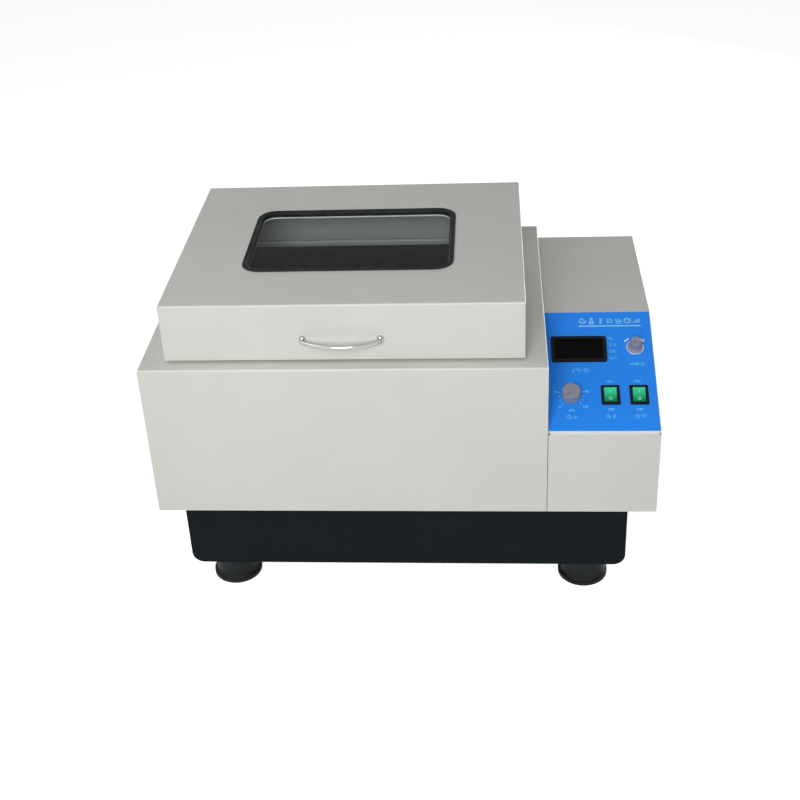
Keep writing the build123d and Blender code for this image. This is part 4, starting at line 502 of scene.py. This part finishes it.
def warmth_mark(shape, x, s, size):
    """Three rising waves over a bar."""
    bar(shape, (x - size * 0.4, s - size * 0.42), (x + size * 0.4, s - size * 0.42), size * 0.1)
    for side in (-0.28, 0.0, 0.28):
        foot = x + size * side
        arc(shape, (foot, s - size * 0.14), size * 0.14, size * 0.09, -90.0, 180.0, 8)
        arc(shape, (foot, s + size * 0.14), size * 0.14, size * 0.09, 90.0, 180.0, 8)


def air_mark(shape, x, s, size):
    """Fan of four blades."""
    for turn in range(4):
        middle = math.radians(45 + 90 * turn)
        spot = (x + size * 0.24 * math.cos(middle), s + size * 0.24 * math.sin(middle))
        arc(shape, spot, size * 0.17, size * 0.1, 90.0 * turn - 60.0, 210.0, 10)
    disc(shape, (x, s), size * 0.09)


def mains_mark(shape, x, s, size):
    """Open ring with a bar at its gap."""
    arc(shape, (x, s), size * 0.38, size * STROKE, 120.0, 300.0, 20)
    bar(shape, (x, s), (x, s + size * 0.46), size * STROKE)


def level_mark(shape, x, s, size):
    """Rising steps."""
    for step in range(4):
        foot = x + size * (step - 1.5) * 0.24
        bar(shape, (foot, s - size * 0.35), (foot, s - size * (0.15 - 0.17 * step)), size * 0.13)


TIMER_AT = (33.0, 60.5)
SPEED_AT = (124.7, 140.5)
SWITCHES = {"heat": (86.2, 61.2), "power": (124.7, 61.2)}

TITLE_START = 54.5
TITLE_PITCH = 12.6
TITLE_LINE = 189.2
TITLE_SIZE = 10.2
TITLE_MARKS = (
    orbit_mark, flask_mark, thermometer_mark, air_mark, warmth_mark, clock_mark, level_mark
)
RULE = ((48.5, 180.2), (135.5, 180.2), 1.9)
title = bmesh.new()
for spot, mark in enumerate(TITLE_MARKS):
    mark(title, TITLE_START + TITLE_PITCH * spot, TITLE_LINE, TITLE_SIZE)
bar(title, *RULE)
printed(title, "title_print", print_white, "instrument", on_panel(0.0, 0.0))

low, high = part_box("control_panel")
PANEL_SIDES = ((low.x - PANEL_ORIGIN.x) / MM, (high.x - PANEL_ORIGIN.x) / MM)
# Painted highlight: a near-white bar along the foot of the panel, standing for the light caught by
# the sheet's lower fold.
STRIP_LEVEL = 2.2
STRIP_WIDTH = 2.4
STRIP_THICK = 1.0
strip = bmesh.new()
bar(strip, (PANEL_SIDES[0], STRIP_LEVEL), (PANEL_SIDES[1], STRIP_LEVEL), STRIP_WIDTH)
printed(
    strip, "panel_fold_highlight", white_print_and_highlight, "instrument",
    on_panel(0.0, 0.0, 0.0), STRIP_THICK,
)

ARROW_AT = (SPEED_AT[0], 143.2)
ARROW_RADIUS = 16.0
arrow = bmesh.new()
arc(arrow, ARROW_AT, ARROW_RADIUS, 1.8, 118.0, 30.0, 8)
arc(arrow, ARROW_AT, ARROW_RADIUS, 2.4, 44.0, 25.0, 8)
for share in range(4):  # the head widens in four steps
    arc(arrow, ARROW_AT, ARROW_RADIUS, 1.2 + 1.5 * share, 31.0 + 4.0 * share, 4.4, 2)
printed(arrow, "speed_arrow_print", white_print_and_highlight, "instrument", on_panel(0.0, 0.0))

small = bmesh.new()
for text, size, centre in (
    ("ON", 5.0, (86.0, 84.0)),
    ("ON", 5.0, (124.2, 84.0)),
    ("OFF", 5.0, (86.0, 38.0)),
    ("OFF", 5.0, (124.2, 38.0)),
    ("min", 5.6, (33.0, 37.4)),
    ("°C", 6.4, (45.2, 103.0)),
    ("°C", 5.6, (91.6, 157.5)),
    ("r/min", 6.2, (122.4, 113.8)),
    ("0", 5.2, (17.2, 42.7)),
    ("30", 5.2, (11.4, 67.2)),
    ("60", 5.2, (33.0, 82.6)),
    ("90", 5.2, (54.4, 67.4)),
    ("120", 5.2, (51.4, 42.9)),
):
    words(small, text, size, centre)
for mark, size, spots in (
    (clock_mark, 7.0, ((28.8, 26.4), (55.6, 103.0))),
    (level_mark, 6.4, ((36.8, 26.4),)),
    (warmth_mark, 7.0, ((81.6, 27.4),)),
    (thermometer_mark, 7.0, ((89.4, 27.4), (37.8, 103.0))),
    (mains_mark, 7.0, ((120.4, 27.4),)),
    (air_mark, 7.0, ((128.4, 27.4),)),
    (orbit_mark, 6.4, ((133.4, 113.8),)),
    (thermometer_mark, 5.4, ((91.0, 146.8),)),
    (clock_mark, 5.4, ((91.0, 136.2),)),
    (warmth_mark, 5.4, ((91.0, 124.2),)),
    (level_mark, 5.4, ((96.6, 146.8),)),
    (orbit_mark, 5.4, ((96.6, 136.2),)),
    (air_mark, 5.4, ((96.6, 124.2),)),
):
    for spot in spots:
        mark(small, *spot, size)
TIMER_ZERO = 228.0
TIMER_SWEEP = 273.0
TIMER_STEPS = 12
TICK_FOOT = 15.2
TICK_SHORT = 17.8
TICK_LONG = 19.3
for step in range(TIMER_STEPS + 1):
    angle = math.radians(TIMER_ZERO - TIMER_SWEEP * step / TIMER_STEPS)
    outwards = Vector((math.cos(angle), math.sin(angle)))
    reach = TICK_LONG if step % 3 == 0 else TICK_SHORT
    start, end = (Vector(TIMER_AT) + outwards * r for r in (TICK_FOOT, reach))
    bar(small, start, end, 1.0)
printed(small, "small_print", print_pale, "instrument", on_panel(0.0, 0.0))


# ---- Marks on knobs and rockers ----

# Each dial's place, the height of its top over the panel, where it points at rest in degrees, and
# the pointer's line.
POINTERS = {
    "timer": (TIMER_AT, 14.08, 48.0, (-4.0, 0.0), (-10.2, 0.0), 1.1),
    "speed": (SPEED_AT, 19.08, 60.0, (-1.2, 0.0), (-5.2, 0.0), 0.9),
}
for dial, (place, top, rest, start, end, width) in POINTERS.items():
    pointer = bmesh.new()
    bar(pointer, start, end, width)
    printed(
        pointer, f"{dial}_pointer", pointer_dark, f"{dial}_dial",
        on_panel(*place, top) @ Matrix.Rotation(math.radians(rest), 4, "Z"),
    )


def turned_part(shape, outline, place, steps=48, flute=1.0):
    """Turn an outline of (radius, height) points; flute draws every other line in by a share."""
    line = [shape.verts.new((r, 0.0, n)) for r, n in outline]
    edges = [shape.edges.new(pair) for pair in zip(line, line[1:])]
    bmesh.ops.spin(
        shape, geom=line + edges, cent=(0.0, 0.0, 0.0), axis=(0.0, 0.0, 1.0),
        angle=math.tau, steps=steps, use_merge=True,
    )
    bmesh.ops.remove_doubles(shape, verts=shape.verts, dist=1e-4)
    if flute != 1.0:
        foot, top = outline[1][1], outline[-2][1]
        for vert in shape.verts:
            turn = math.degrees(math.atan2(vert.co.y, vert.co.x)) / (360.0 / steps)
            if round(turn) % 2 and foot < vert.co.z < top - 0.3:
                vert.co.x *= flute
                vert.co.y *= flute
    bmesh.ops.transform(shape, matrix=place, verts=shape.verts)


CAP_FOOT = 6.1
cap = bmesh.new()
turned_part(cap, (
    (0.0, CAP_FOOT), (7.9, CAP_FOOT), (8.0, CAP_FOOT + 0.4), (7.9, 9.0), (7.7, 14.0), (7.6, 17.4),
    (7.4, 18.3), (6.9, 18.9), (6.2, 19.0), (5.8, 18.7), (0.0, 18.7),
), on_panel(*SPEED_AT, 0.0), 60, 0.96)
settle(cap, "speed_grip", grey_plastic, "speed_dial", "speed_cap", 24.0)

skirt = bmesh.new()
turned_part(skirt, (
    (4.0, 1.7), (11.0, 1.7), (11.0, 3.2), (10.8, 4.6), (10.2, 5.6), (9.3, CAP_FOOT),
    (4.0, CAP_FOOT), (4.0, 1.7),
), on_panel(*SPEED_AT, 0.0))
settle(skirt, "speed_skirt_cone", grey_plastic, "speed_dial", "speed_skirt", 50.0)

skirt = bmesh.new()
turned_part(skirt, (
    (10.9, 1.6), (11.7, 1.6), (12.0, 1.9), (12.0, 2.7), (11.8, 3.1), (11.4, 3.3), (10.9, 3.3),
    (10.9, 1.6),
), on_panel(*SPEED_AT, 0.0))
settle(
    skirt, "speed_skirt_ring", turned_aluminium, "speed_dial", "speed_skirt"
)

ROCKER_TILT = math.radians(12.0)
ROCKER_HALF = 10.5
ROCKER_RIDGE = 2.7
ROCKER_RISE = 1.3
FACET_TILT = math.atan2(ROCKER_RISE, ROCKER_HALF)
for switch, (x, s) in SWITCHES.items():
    rocker = on_panel(x, s, 0.2) @ Matrix.Rotation(ROCKER_TILT, 4, "X")
    ridge = rocker @ Matrix.Translation((0.0, 0.0, ROCKER_RIDGE + 0.01))
    stroke = bmesh.new()
    bar(stroke, (0.0, 3.4), (0.0, 6.8), 0.9)
    printed(
        stroke, f"{switch}_on_mark", mark_green, f"{switch}_switch",
        ridge @ Matrix.Rotation(FACET_TILT, 4, "X"),
    )
    ring = bmesh.new()
    arc(ring, (0.0, -5.4), 2.0, 0.85, 0.0, 360.0, 24)
    printed(
        ring, f"{switch}_off_mark", mark_green, f"{switch}_switch",
        ridge @ Matrix.Rotation(-FACET_TILT, 4, "X"),
    )


# ---- Digits behind the display filter ----

DIGIT_FIRST = 26.5
DIGIT_PITCH = 13.6
DIGIT_LINE = 139.0
DIGIT_HALF = 3.7
SEGMENT_WIDTH = 1.5
module = bmesh.new()
for digit in range(4):  # seven strokes and a point each
    x = DIGIT_FIRST + DIGIT_PITCH * digit
    for level in (-2, 0, 2):
        s = DIGIT_LINE + DIGIT_HALF * level
        bar(module, (x - 2.7, s), (x + 2.7, s), SEGMENT_WIDTH)
    for side in (-DIGIT_HALF, DIGIT_HALF):
        for level in (-1, 1):
            s = DIGIT_LINE + DIGIT_HALF * level
            bar(module, (x + side, s - 2.8), (x + side, s + 2.8), SEGMENT_WIDTH)
    disc(module, (x + 6.4, DIGIT_LINE - 2 * DIGIT_HALF), 0.9, 12)
printed(
    module, "display_segments", segment_dark, "instrument",
    on_panel(0.0, 0.0, -0.6), 0.3,
)


# ---- Window frame ----


def framed(shape, section, x_range, y_range, radius, steps=8):
    """Sweep a closed section of (radius, height) points round a rectangle with round corners."""
    left, right = x_range[0] + radius, x_range[1] - radius
    front, back = y_range[0] + radius, y_range[1] - radius
    here = Vector((left, front, 0.0))
    loop = [shape.verts.new(here + Vector((0.0, -r, z))) for r, z in section]
    for pair in zip(loop, loop[1:] + loop[:1]):
        shape.edges.new(pair)
    for corner in ((right, front), (right, back), (left, back), (left, front)):
        centre = Vector((*corner, 0.0))
        edges = [e for e in shape.edges if e.verts[0] in loop and e.verts[1] in loop]
        grown = bmesh.ops.extrude_edge_only(shape, edges=edges)["geom"]
        loop = [v for v in grown if isinstance(v, bmesh.types.BMVert)]
        bmesh.ops.translate(shape, verts=loop, vec=centre - here)
        edges = [e for e in shape.edges if e.verts[0] in loop and e.verts[1] in loop]
        turned = bmesh.ops.spin(
            shape, geom=loop + edges, cent=centre, axis=(0.0, 0.0, 1.0),
            angle=math.pi / 2, steps=steps,
        )["geom_last"]
        loop = [v for v in turned if isinstance(v, bmesh.types.BMVert)]
        here = centre
    bmesh.ops.remove_doubles(shape, verts=shape.verts, dist=2e-6)


WINDOW_RADIUS = 27.0
LID_TOP = 485.0
low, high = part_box("window_gasket")
window_sides = ((low.x, high.x), (low.y, high.y))


def window_section(*points):
    """Points of a window frame's section, made metres."""
    return [(r * MM, z * MM) for r, z in points]


gasket = bmesh.new()
framed(gasket, window_section(
    (27.0, LID_TOP), (27.0, 485.7), (26.7, 486.5), (26.0, 487.05), (25.2, 487.2), (24.4, 486.9),
    (23.9, 486.2), (23.5, 485.8), (23.1, 486.2), (22.6, 486.9), (21.8, 487.2), (20.9, 487.0),
    (19.6, 486.1), (18.8, 484.9), (18.5, 484.1), (18.5, 483.8), (21.5, 483.8), (21.5, 478.8),
    (18.5, 478.8), (18.5, 478.4), (18.9, 478.0), (26.4, 478.0), (27.0, 478.4), (27.0, 483.8),
    (23.0, 483.8), (23.0, LID_TOP),
), *window_sides, WINDOW_RADIUS * MM)
settle(gasket, "window_double_bead", rubber_black, "lid", "window_gasket", 50.0)

# A thin lip under the gasket's inner edge, painted near-white as the bright highlight that runs
# round the glass.
lip_highlight = bmesh.new()
framed(lip_highlight, window_section(
    (18.5, 478.0), (18.5, 476.2), (19.2, 475.9), (19.4, 478.0),
), *window_sides, WINDOW_RADIUS * MM)
settle(lip_highlight, "window_lip_highlight", white_print_and_highlight, "lid")


# ---- Corner webs of the lid ----

LID_FOOT = 402.0 * MM
WEB_THICK = 1.0 * MM
LINER_CORNER = 13.0 * MM
LINER_GAP = 0.3 * MM
WEB_LIFT = 0.1 * MM


def corner_web(shape, middle, reach, side_x, side_y):
    """Thin web that closes a square corner of the flange up to the liner's round one.

    It is made in the back right corner, and side_x and side_y of -1 mirror it to the others.
    """
    corner = Vector((reach.x, reach.y, 0.0))
    centre = corner - Vector((LINER_CORNER, LINER_CORNER, 0.0))
    start = shape.verts.new(centre + Vector((LINER_CORNER - LINER_GAP, 0.0, 0.0)))
    arc_made = bmesh.ops.spin(
        shape, geom=[start], cent=centre, axis=(0.0, 0.0, 1.0), angle=math.pi / 2, steps=8,
    )
    end = next(v for v in arc_made["geom_last"] if isinstance(v, bmesh.types.BMVert))
    tips = [
        shape.verts.new((corner.x, start.co.y, 0.0)),
        shape.verts.new(corner),
        shape.verts.new((end.co.x, corner.y, 0.0)),
    ]
    line = [start, *tips, end]
    for pair in zip(line, line[1:]):
        shape.edges.new(pair)
    web = bmesh.ops.contextual_create(shape, geom=[e for e in shape.edges if not e.link_faces])
    grown = bmesh.ops.extrude_face_region(shape, geom=web["faces"])["geom"]
    top = [v for v in grown if isinstance(v, bmesh.types.BMVert)]
    bmesh.ops.translate(shape, verts=top, vec=(0.0, 0.0, WEB_THICK))
    place = Matrix.Translation((middle.x, middle.y, LID_FOOT + WEB_LIFT))
    place = place @ Matrix.Diagonal((side_x, side_y, 1.0, 1.0))
    bmesh.ops.transform(shape, matrix=place, verts=shape.verts)


low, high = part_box("lid_liner")
liner_middle = (low + high) / 2
liner_reach = (high - low) / 2 + Vector((LINER_GAP, LINER_GAP, 0.0))
webs = bmesh.new()
for side_x in (-1.0, 1.0):
    for side_y in (-1.0, 1.0):
        web = bmesh.new()
        corner_web(web, liner_middle, liner_reach, side_x, side_y)
        add(webs, web)
settle(webs, "lid_corner_webs", white_paint, "lid")


# ---- Air outlet grille, a dark sheet that also paints the shade deep in the chamber ----

GRILLE_THICK = 1.5 * MM
GRILLE_TOP = 391.0 * MM
SLOT_WIDE = 26.0 * MM
SLOT_HIGH = 5.0 * MM
SLOT_PITCH = 42.0 * MM
SLOT_COUNT = 10
ROW_PITCH = 10.0 * MM
SLOT_DEPTH = 0.7 * GRILLE_THICK
low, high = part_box("duct_cover")
middle = Vector(((low.x + high.x) / 2, high.y - GRILLE_THICK / 2, (high.z + GRILLE_TOP) / 2))
size = Matrix.Diagonal((high.x - low.x, GRILLE_THICK, GRILLE_TOP - high.z, 1.0))
grille = bmesh.new()
bmesh.ops.create_cube(grille, size=1.0, matrix=Matrix.Translation(middle) @ size)
long_edges = [
    e for e in grille.edges
    if abs(e.verts[0].co.x - e.verts[1].co.x) > MM and all(v.co.z > middle.z for v in e.verts)
]
bmesh.ops.bevel(
    grille, geom=long_edges, offset=0.6 * MM, segments=2, profile=0.5, affect="EDGES", material=-1
)
slot_xs = [middle.x + (step - (SLOT_COUNT - 1) / 2) * SLOT_PITCH for step in range(SLOT_COUNT)]
slot_zs = [middle.z + row * ROW_PITCH for row in (-1, 0, 1)]
for x in slot_xs:
    for side in (-SLOT_WIDE / 2, SLOT_WIDE / 2):
        score(grille, (x + side, 0.0, 0.0), (1.0, 0.0, 0.0))
for z in slot_zs:
    for side in (-SLOT_HIGH / 2, SLOT_HIGH / 2):
        score(grille, (0.0, 0.0, z + side), (0.0, 0.0, 1.0))
slots = [
    f for f in grille.faces
    if f.normal.y < -0.9
    and any(abs(f.calc_center_median().x - x) < SLOT_WIDE / 2 for x in slot_xs)
    and any(abs(f.calc_center_median().z - z) < SLOT_HIGH / 2 for z in slot_zs)
]
pushed = bmesh.ops.extrude_discrete_faces(grille, faces=slots)["faces"]
for face in pushed:
    bmesh.ops.translate(grille, verts=face.verts, vec=(0.0, SLOT_DEPTH, 0.0))
settle(grille, "outlet_grille_painted_shade", duct_black_and_shade, "instrument")


# ---- Springs of the flask rack ----


def wire_ring(shape, centre, axis, radius, wire):
    """Closed ring of wire."""
    side = axis.orthogonal().normalized()
    turn = side.cross(axis).to_track_quat("Z", "X").to_matrix().to_4x4()
    place = Matrix.Translation(centre + side * radius) @ turn
    rim = bmesh.ops.create_circle(shape, segments=5, radius=wire, matrix=place)["verts"]
    edges = list({e for v in rim for e in v.link_edges})
    bmesh.ops.spin(
        shape, geom=rim + edges, cent=centre, axis=axis, angle=math.tau, steps=14, use_merge=True
    )


TURN_STEPS = 9


def wire_turn(axis, radius, wire, pitch):
    """One turn of a coil round an axis through the origin, as a mesh open at both ends."""
    shape = bmesh.new()
    side = Vector((0.0, 0.0, 1.0))
    along = axis.cross(side)
    turn = along.to_track_quat("Z", "X").to_matrix().to_4x4()
    place = Matrix.Translation(side * radius) @ turn
    rim = bmesh.ops.create_circle(shape, segments=4, radius=wire, matrix=place)["verts"]
    edges = list({e for v in rim for e in v.link_edges})
    bmesh.ops.spin(
        shape, geom=rim + edges, cent=(0.0, 0.0, 0.0), axis=axis,
        dvec=axis * (pitch / TURN_STEPS), angle=math.tau, steps=TURN_STEPS,
    )
    mesh = bpy.data.meshes.new("wire_turn")
    shape.to_mesh(mesh)
    shape.free()
    return mesh


def coil(shape, turn, start, axis, reach, pitch):
    """Run of wire turns along an axis, closed at both ends."""
    count = round(reach / pitch)
    turn.transform(Matrix.Translation(start))
    for _ in range(count):
        shape.from_mesh(turn)
        turn.transform(Matrix.Translation(axis * pitch))
    turn.transform(Matrix.Translation(-start - axis * pitch * count))


low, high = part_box("rack_springs")
SPRING_RADIUS = 4.0 * MM
WIRE = 0.55 * MM
HOOK = 6.4 * MM
COIL_PITCH = 2.2 * MM
runs = {
    "rack_row_springs": (Vector((1.0, 0.0, 0.0)), 6, high.z - SPRING_RADIUS),
    "rack_column_springs": (Vector((0.0, 1.0, 0.0)), 9, low.z + SPRING_RADIUS),
}
for name, (axis, count, level) in runs.items():
    across = Vector((axis.y, axis.x, 0.0))
    width = (high - low).dot(across)
    reach = (high - low).dot(axis)
    pitch = (width - 2 * SPRING_RADIUS) / (count - 1)
    starts = [low + across * (SPRING_RADIUS + pitch * spring) for spring in range(count)]
    springs = bmesh.new()
    hooks = bmesh.new()
    turn = wire_turn(axis, SPRING_RADIUS - WIRE, WIRE, COIL_PITCH)
    for start in starts:
        start.z = level
        coil(springs, turn, start + axis * HOOK, axis, reach - 2 * HOOK, COIL_PITCH)
        for end in (HOOK / 2, reach - HOOK / 2):
            wire_ring(hooks, start + axis * end, across, HOOK / 2 - WIRE, WIRE)
    bmesh.ops.remove_doubles(springs, verts=springs.verts, dist=1e-6)
    bmesh.ops.holes_fill(springs, edges=springs.edges, sides=4)
    add(springs, hooks)
    bpy.data.meshes.remove(turn)
    settle(springs, name, stainless, "tray", "rack_springs", 60.0)


# ---- Screws ----

DRIVER_SLOT = 0.8 * MM


def cut_head(shape, place, radius, height, cross=False):
    """Low round head with a driver slot, or a cross, sunk in its top."""
    head = bmesh.new()
    bmesh.ops.create_cone(
        head, cap_ends=True, segments=24, radius1=radius, radius2=radius, depth=height,
        matrix=Matrix.Translation((0.0, 0.0, height / 2)),
    )
    rim = [e for e in head.edges if all(v.co.z > height * 0.9 for v in e.verts)]
    bmesh.ops.bevel(
        head, geom=rim, offset=height * 0.4, segments=3, profile=0.5, affect="EDGES", material=-1
    )
    reach = radius * (0.62 if cross else 1.2)
    for normal in ((1.0, 0.0, 0.0), (0.0, 1.0, 0.0)):
        for offset in (-DRIVER_SLOT / 2, DRIVER_SLOT / 2, -reach, reach):
            score(head, Vector(normal) * offset, normal)
    sunk = []
    for face in head.faces:
        middle = face.calc_center_median()
        if face.normal.z < 0.9 or middle.z < height * 0.5:
            continue
        in_slot = abs(middle.y) < DRIVER_SLOT / 2 and abs(middle.x) < reach
        in_cross = abs(middle.x) < DRIVER_SLOT / 2 and abs(middle.y) < reach
        if in_slot or (cross and in_cross):
            sunk.append(face)
    grown = bmesh.ops.extrude_face_region(head, geom=sunk)
    down = [v for v in grown["geom"] if isinstance(v, bmesh.types.BMVert)]
    bmesh.ops.delete(head, geom=sunk, context="FACES")
    bmesh.ops.translate(head, verts=down, vec=(0.0, 0.0, -height * 0.55))
    bmesh.ops.transform(head, matrix=place, verts=head.verts)
    add(shape, head)


HINGES = (-210.0, 65.0)
LEAF_PITCH = 22.0
LEAF_HEAD = 2.9 * MM
LEAF_RISE = 0.9 * MM
BODY_LEAF_Y = 209.4
BODY_LEAF_TOP = 400.0
LID_LEAF_BACK = 195.25
LID_LEAF_SIDE_Z = 426.0
LID_LEAF_MIDDLE_Z = 430.0
FACING_BACK = Matrix.Rotation(-math.pi / 2, 4, "X")
body_screws = bmesh.new()
lid_screws = bmesh.new()
for centre in HINGES:
    for step in (-1, 0, 1):
        x = centre + LEAF_PITCH * step
        place = Matrix.Translation(Vector((x, BODY_LEAF_Y, BODY_LEAF_TOP)) * MM)
        turn = Matrix.Rotation(0.7 * step + 0.4, 4, "Z")
        cut_head(body_screws, place @ turn, LEAF_HEAD, LEAF_RISE)
        z = LID_LEAF_SIDE_Z if step else LID_LEAF_MIDDLE_Z
        place = Matrix.Translation(Vector((x, LID_LEAF_BACK, z)) * MM)
        turn = Matrix.Rotation(step + 0.3, 4, "Z")
        cut_head(lid_screws, place @ FACING_BACK @ turn, LEAF_HEAD, LEAF_RISE)
settle(body_screws, "hinge_body_screws", zinc_steel, "instrument")
settle(lid_screws, "hinge_lid_screws", zinc_steel, "lid")

REAR_HEAD = 3.4 * MM
REAR_RISE = 1.9 * MM
low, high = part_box("rear_screws")
rear_heads = bmesh.new()
angle = 0.2
for x in (low.x + REAR_HEAD, high.x - REAR_HEAD):
    for z in (low.z + REAR_HEAD, high.z - REAR_HEAD):
        place = Matrix.Translation((x, high.y - REAR_RISE, z))
        turn = Matrix.Rotation(angle, 4, "Z")
        cut_head(rear_heads, place @ FACING_BACK @ turn, REAR_HEAD, REAR_RISE, cross=True)
        angle += 0.5
settle(rear_heads, "rear_screw_heads", zinc_steel, "instrument", "rear_screws")


# ---- Floor, light and camera ----


def backdrop_share(nodes, links):
    """1 for rays that the camera, a mirror or glass sends, and 0 for rays that light the object."""
    path = nodes.new("ShaderNodeLightPath")
    seen = nodes.new("ShaderNodeMath")
    seen.operation = "MAXIMUM"
    also = nodes.new("ShaderNodeMath")
    also.operation = "MAXIMUM"
    links.new(path.outputs["Is Camera Ray"], seen.inputs[0])
    links.new(path.outputs["Is Glossy Ray"], seen.inputs[1])
    links.new(seen.outputs["Value"], also.inputs[0])
    links.new(path.outputs["Is Transmission Ray"], also.inputs[1])
    return also.outputs["Value"]


floor_white = bpy.data.materials.new("studio_floor")
floor_white.use_nodes = True
nodes = floor_white.node_tree.nodes
links = floor_white.node_tree.links
nodes.remove(nodes["Principled BSDF"])
matt = nodes.new("ShaderNodeBsdfDiffuse")
matt.inputs["Color"].default_value = (0.6, 0.6, 0.6, 1.0)
pale = nodes.new("ShaderNodeBsdfDiffuse")
pale.inputs["Color"].default_value = (0.85, 0.85, 0.85, 1.0)
glow = nodes.new("ShaderNodeEmission")
glow.inputs["Color"].default_value = (1.0, 1.0, 1.0, 1.0)
glow.inputs["Strength"].default_value = 0.8
both = nodes.new("ShaderNodeAddShader")
choice = nodes.new("ShaderNodeMixShader")
links.new(pale.outputs["BSDF"], both.inputs[0])
links.new(glow.outputs["Emission"], both.inputs[1])
links.new(backdrop_share(nodes, links), choice.inputs["Fac"])
links.new(matt.outputs["BSDF"], choice.inputs[1])
links.new(both.outputs["Shader"], choice.inputs[2])
links.new(choice.outputs["Shader"], nodes["Material Output"].inputs["Surface"])

FLOOR_RADIUS = 6.0
ground = bmesh.new()
bmesh.ops.create_circle(ground, cap_ends=True, segments=96, radius=FLOOR_RADIUS)
ground_mesh = bpy.data.meshes.new("studio_floor")
ground.to_mesh(ground_mesh)
ground.free()
ground_mesh.materials.append(floor_white)
floor = bpy.data.objects.new("studio_floor", ground_mesh)
bpy.context.scene.collection.objects.link(floor)

world = bpy.data.worlds.new("studio")
bpy.context.scene.world = world
world.use_nodes = True
nodes = world.node_tree.nodes
links = world.node_tree.links
soft = nodes["Background"]
soft.inputs["Color"].default_value = (0.97, 1.0, 1.02, 1.0)
soft.inputs["Strength"].default_value = 0.13
white = nodes.new("ShaderNodeBackground")
white.inputs["Color"].default_value = (1.0, 1.0, 1.0, 1.0)
choice = nodes.new("ShaderNodeMixShader")
links.new(backdrop_share(nodes, links), choice.inputs["Fac"])
links.new(soft.outputs["Background"], choice.inputs[1])
links.new(white.outputs["Background"], choice.inputs[2])
links.new(choice.outputs["Shader"], nodes["World Output"].inputs["Surface"])


LAMPS_FACE = Vector((0.0, 0.0, 0.3))


def softbox(name, azimuth, height, distance, size, energy, colour):
    """Square lamp facing the object; azimuth and height are degrees left of the front and up."""
    data = bpy.data.lights.new(name, "AREA")
    data.size = size
    data.energy = energy
    data.color = colour
    lamp = bpy.data.objects.new(name, data)
    turn = math.radians(azimuth)
    rise = math.radians(height)
    level = Vector((-math.sin(turn), -math.cos(turn), 0.0)) * math.cos(rise)
    towards = level + Vector((0.0, 0.0, math.sin(rise)))
    lamp.location = LAMPS_FACE + towards * distance
    lamp.rotation_euler = towards.to_track_quat("Z", "Y").to_euler()
    bpy.context.scene.collection.objects.link(lamp)


softbox("front_softbox", 5.0, 29.0, 2.6, 1.1, 46.0, (1.0, 0.995, 0.98))
softbox("left_softbox", 62.0, 42.0, 2.2, 1.4, 8.0, (0.98, 1.0, 1.0))
softbox("rear_softbox", 222.0, 0.0, 2.4, 0.5, 26.0, (1.0, 1.0, 1.0))

CAMERA_AT = Vector((0.1241, -1.68055, 1.2778))
YAW, PITCH, ROLL = 0.107, 0.5214, 0.0624
SENSOR, LENS, SHIFT = 36.0, 58.35, (0.0375, -0.06875)
forward = Vector((
    -math.sin(YAW) * math.cos(PITCH), math.cos(YAW) * math.cos(PITCH), -math.sin(PITCH)
))
right = Vector((math.cos(YAW), math.sin(YAW), 0.0))
down = forward.cross(right)
right_rolled = math.cos(ROLL) * right + math.sin(ROLL) * down
down_rolled = -math.sin(ROLL) * right + math.cos(ROLL) * down
camera_data = bpy.data.cameras.new("camera")
camera_data.sensor_width = SENSOR
camera_data.lens = LENS
camera_data.shift_x, camera_data.shift_y = SHIFT
camera = bpy.data.objects.new("camera", camera_data)
turn = Matrix((right_rolled, -down_rolled, -forward)).transposed()
camera.matrix_world = Matrix.Translation(CAMERA_AT) @ turn.to_4x4()
bpy.context.scene.collection.objects.link(camera)
bpy.context.scene.camera = camera

bpy.context.scene.view_settings.view_transform = "Standard"
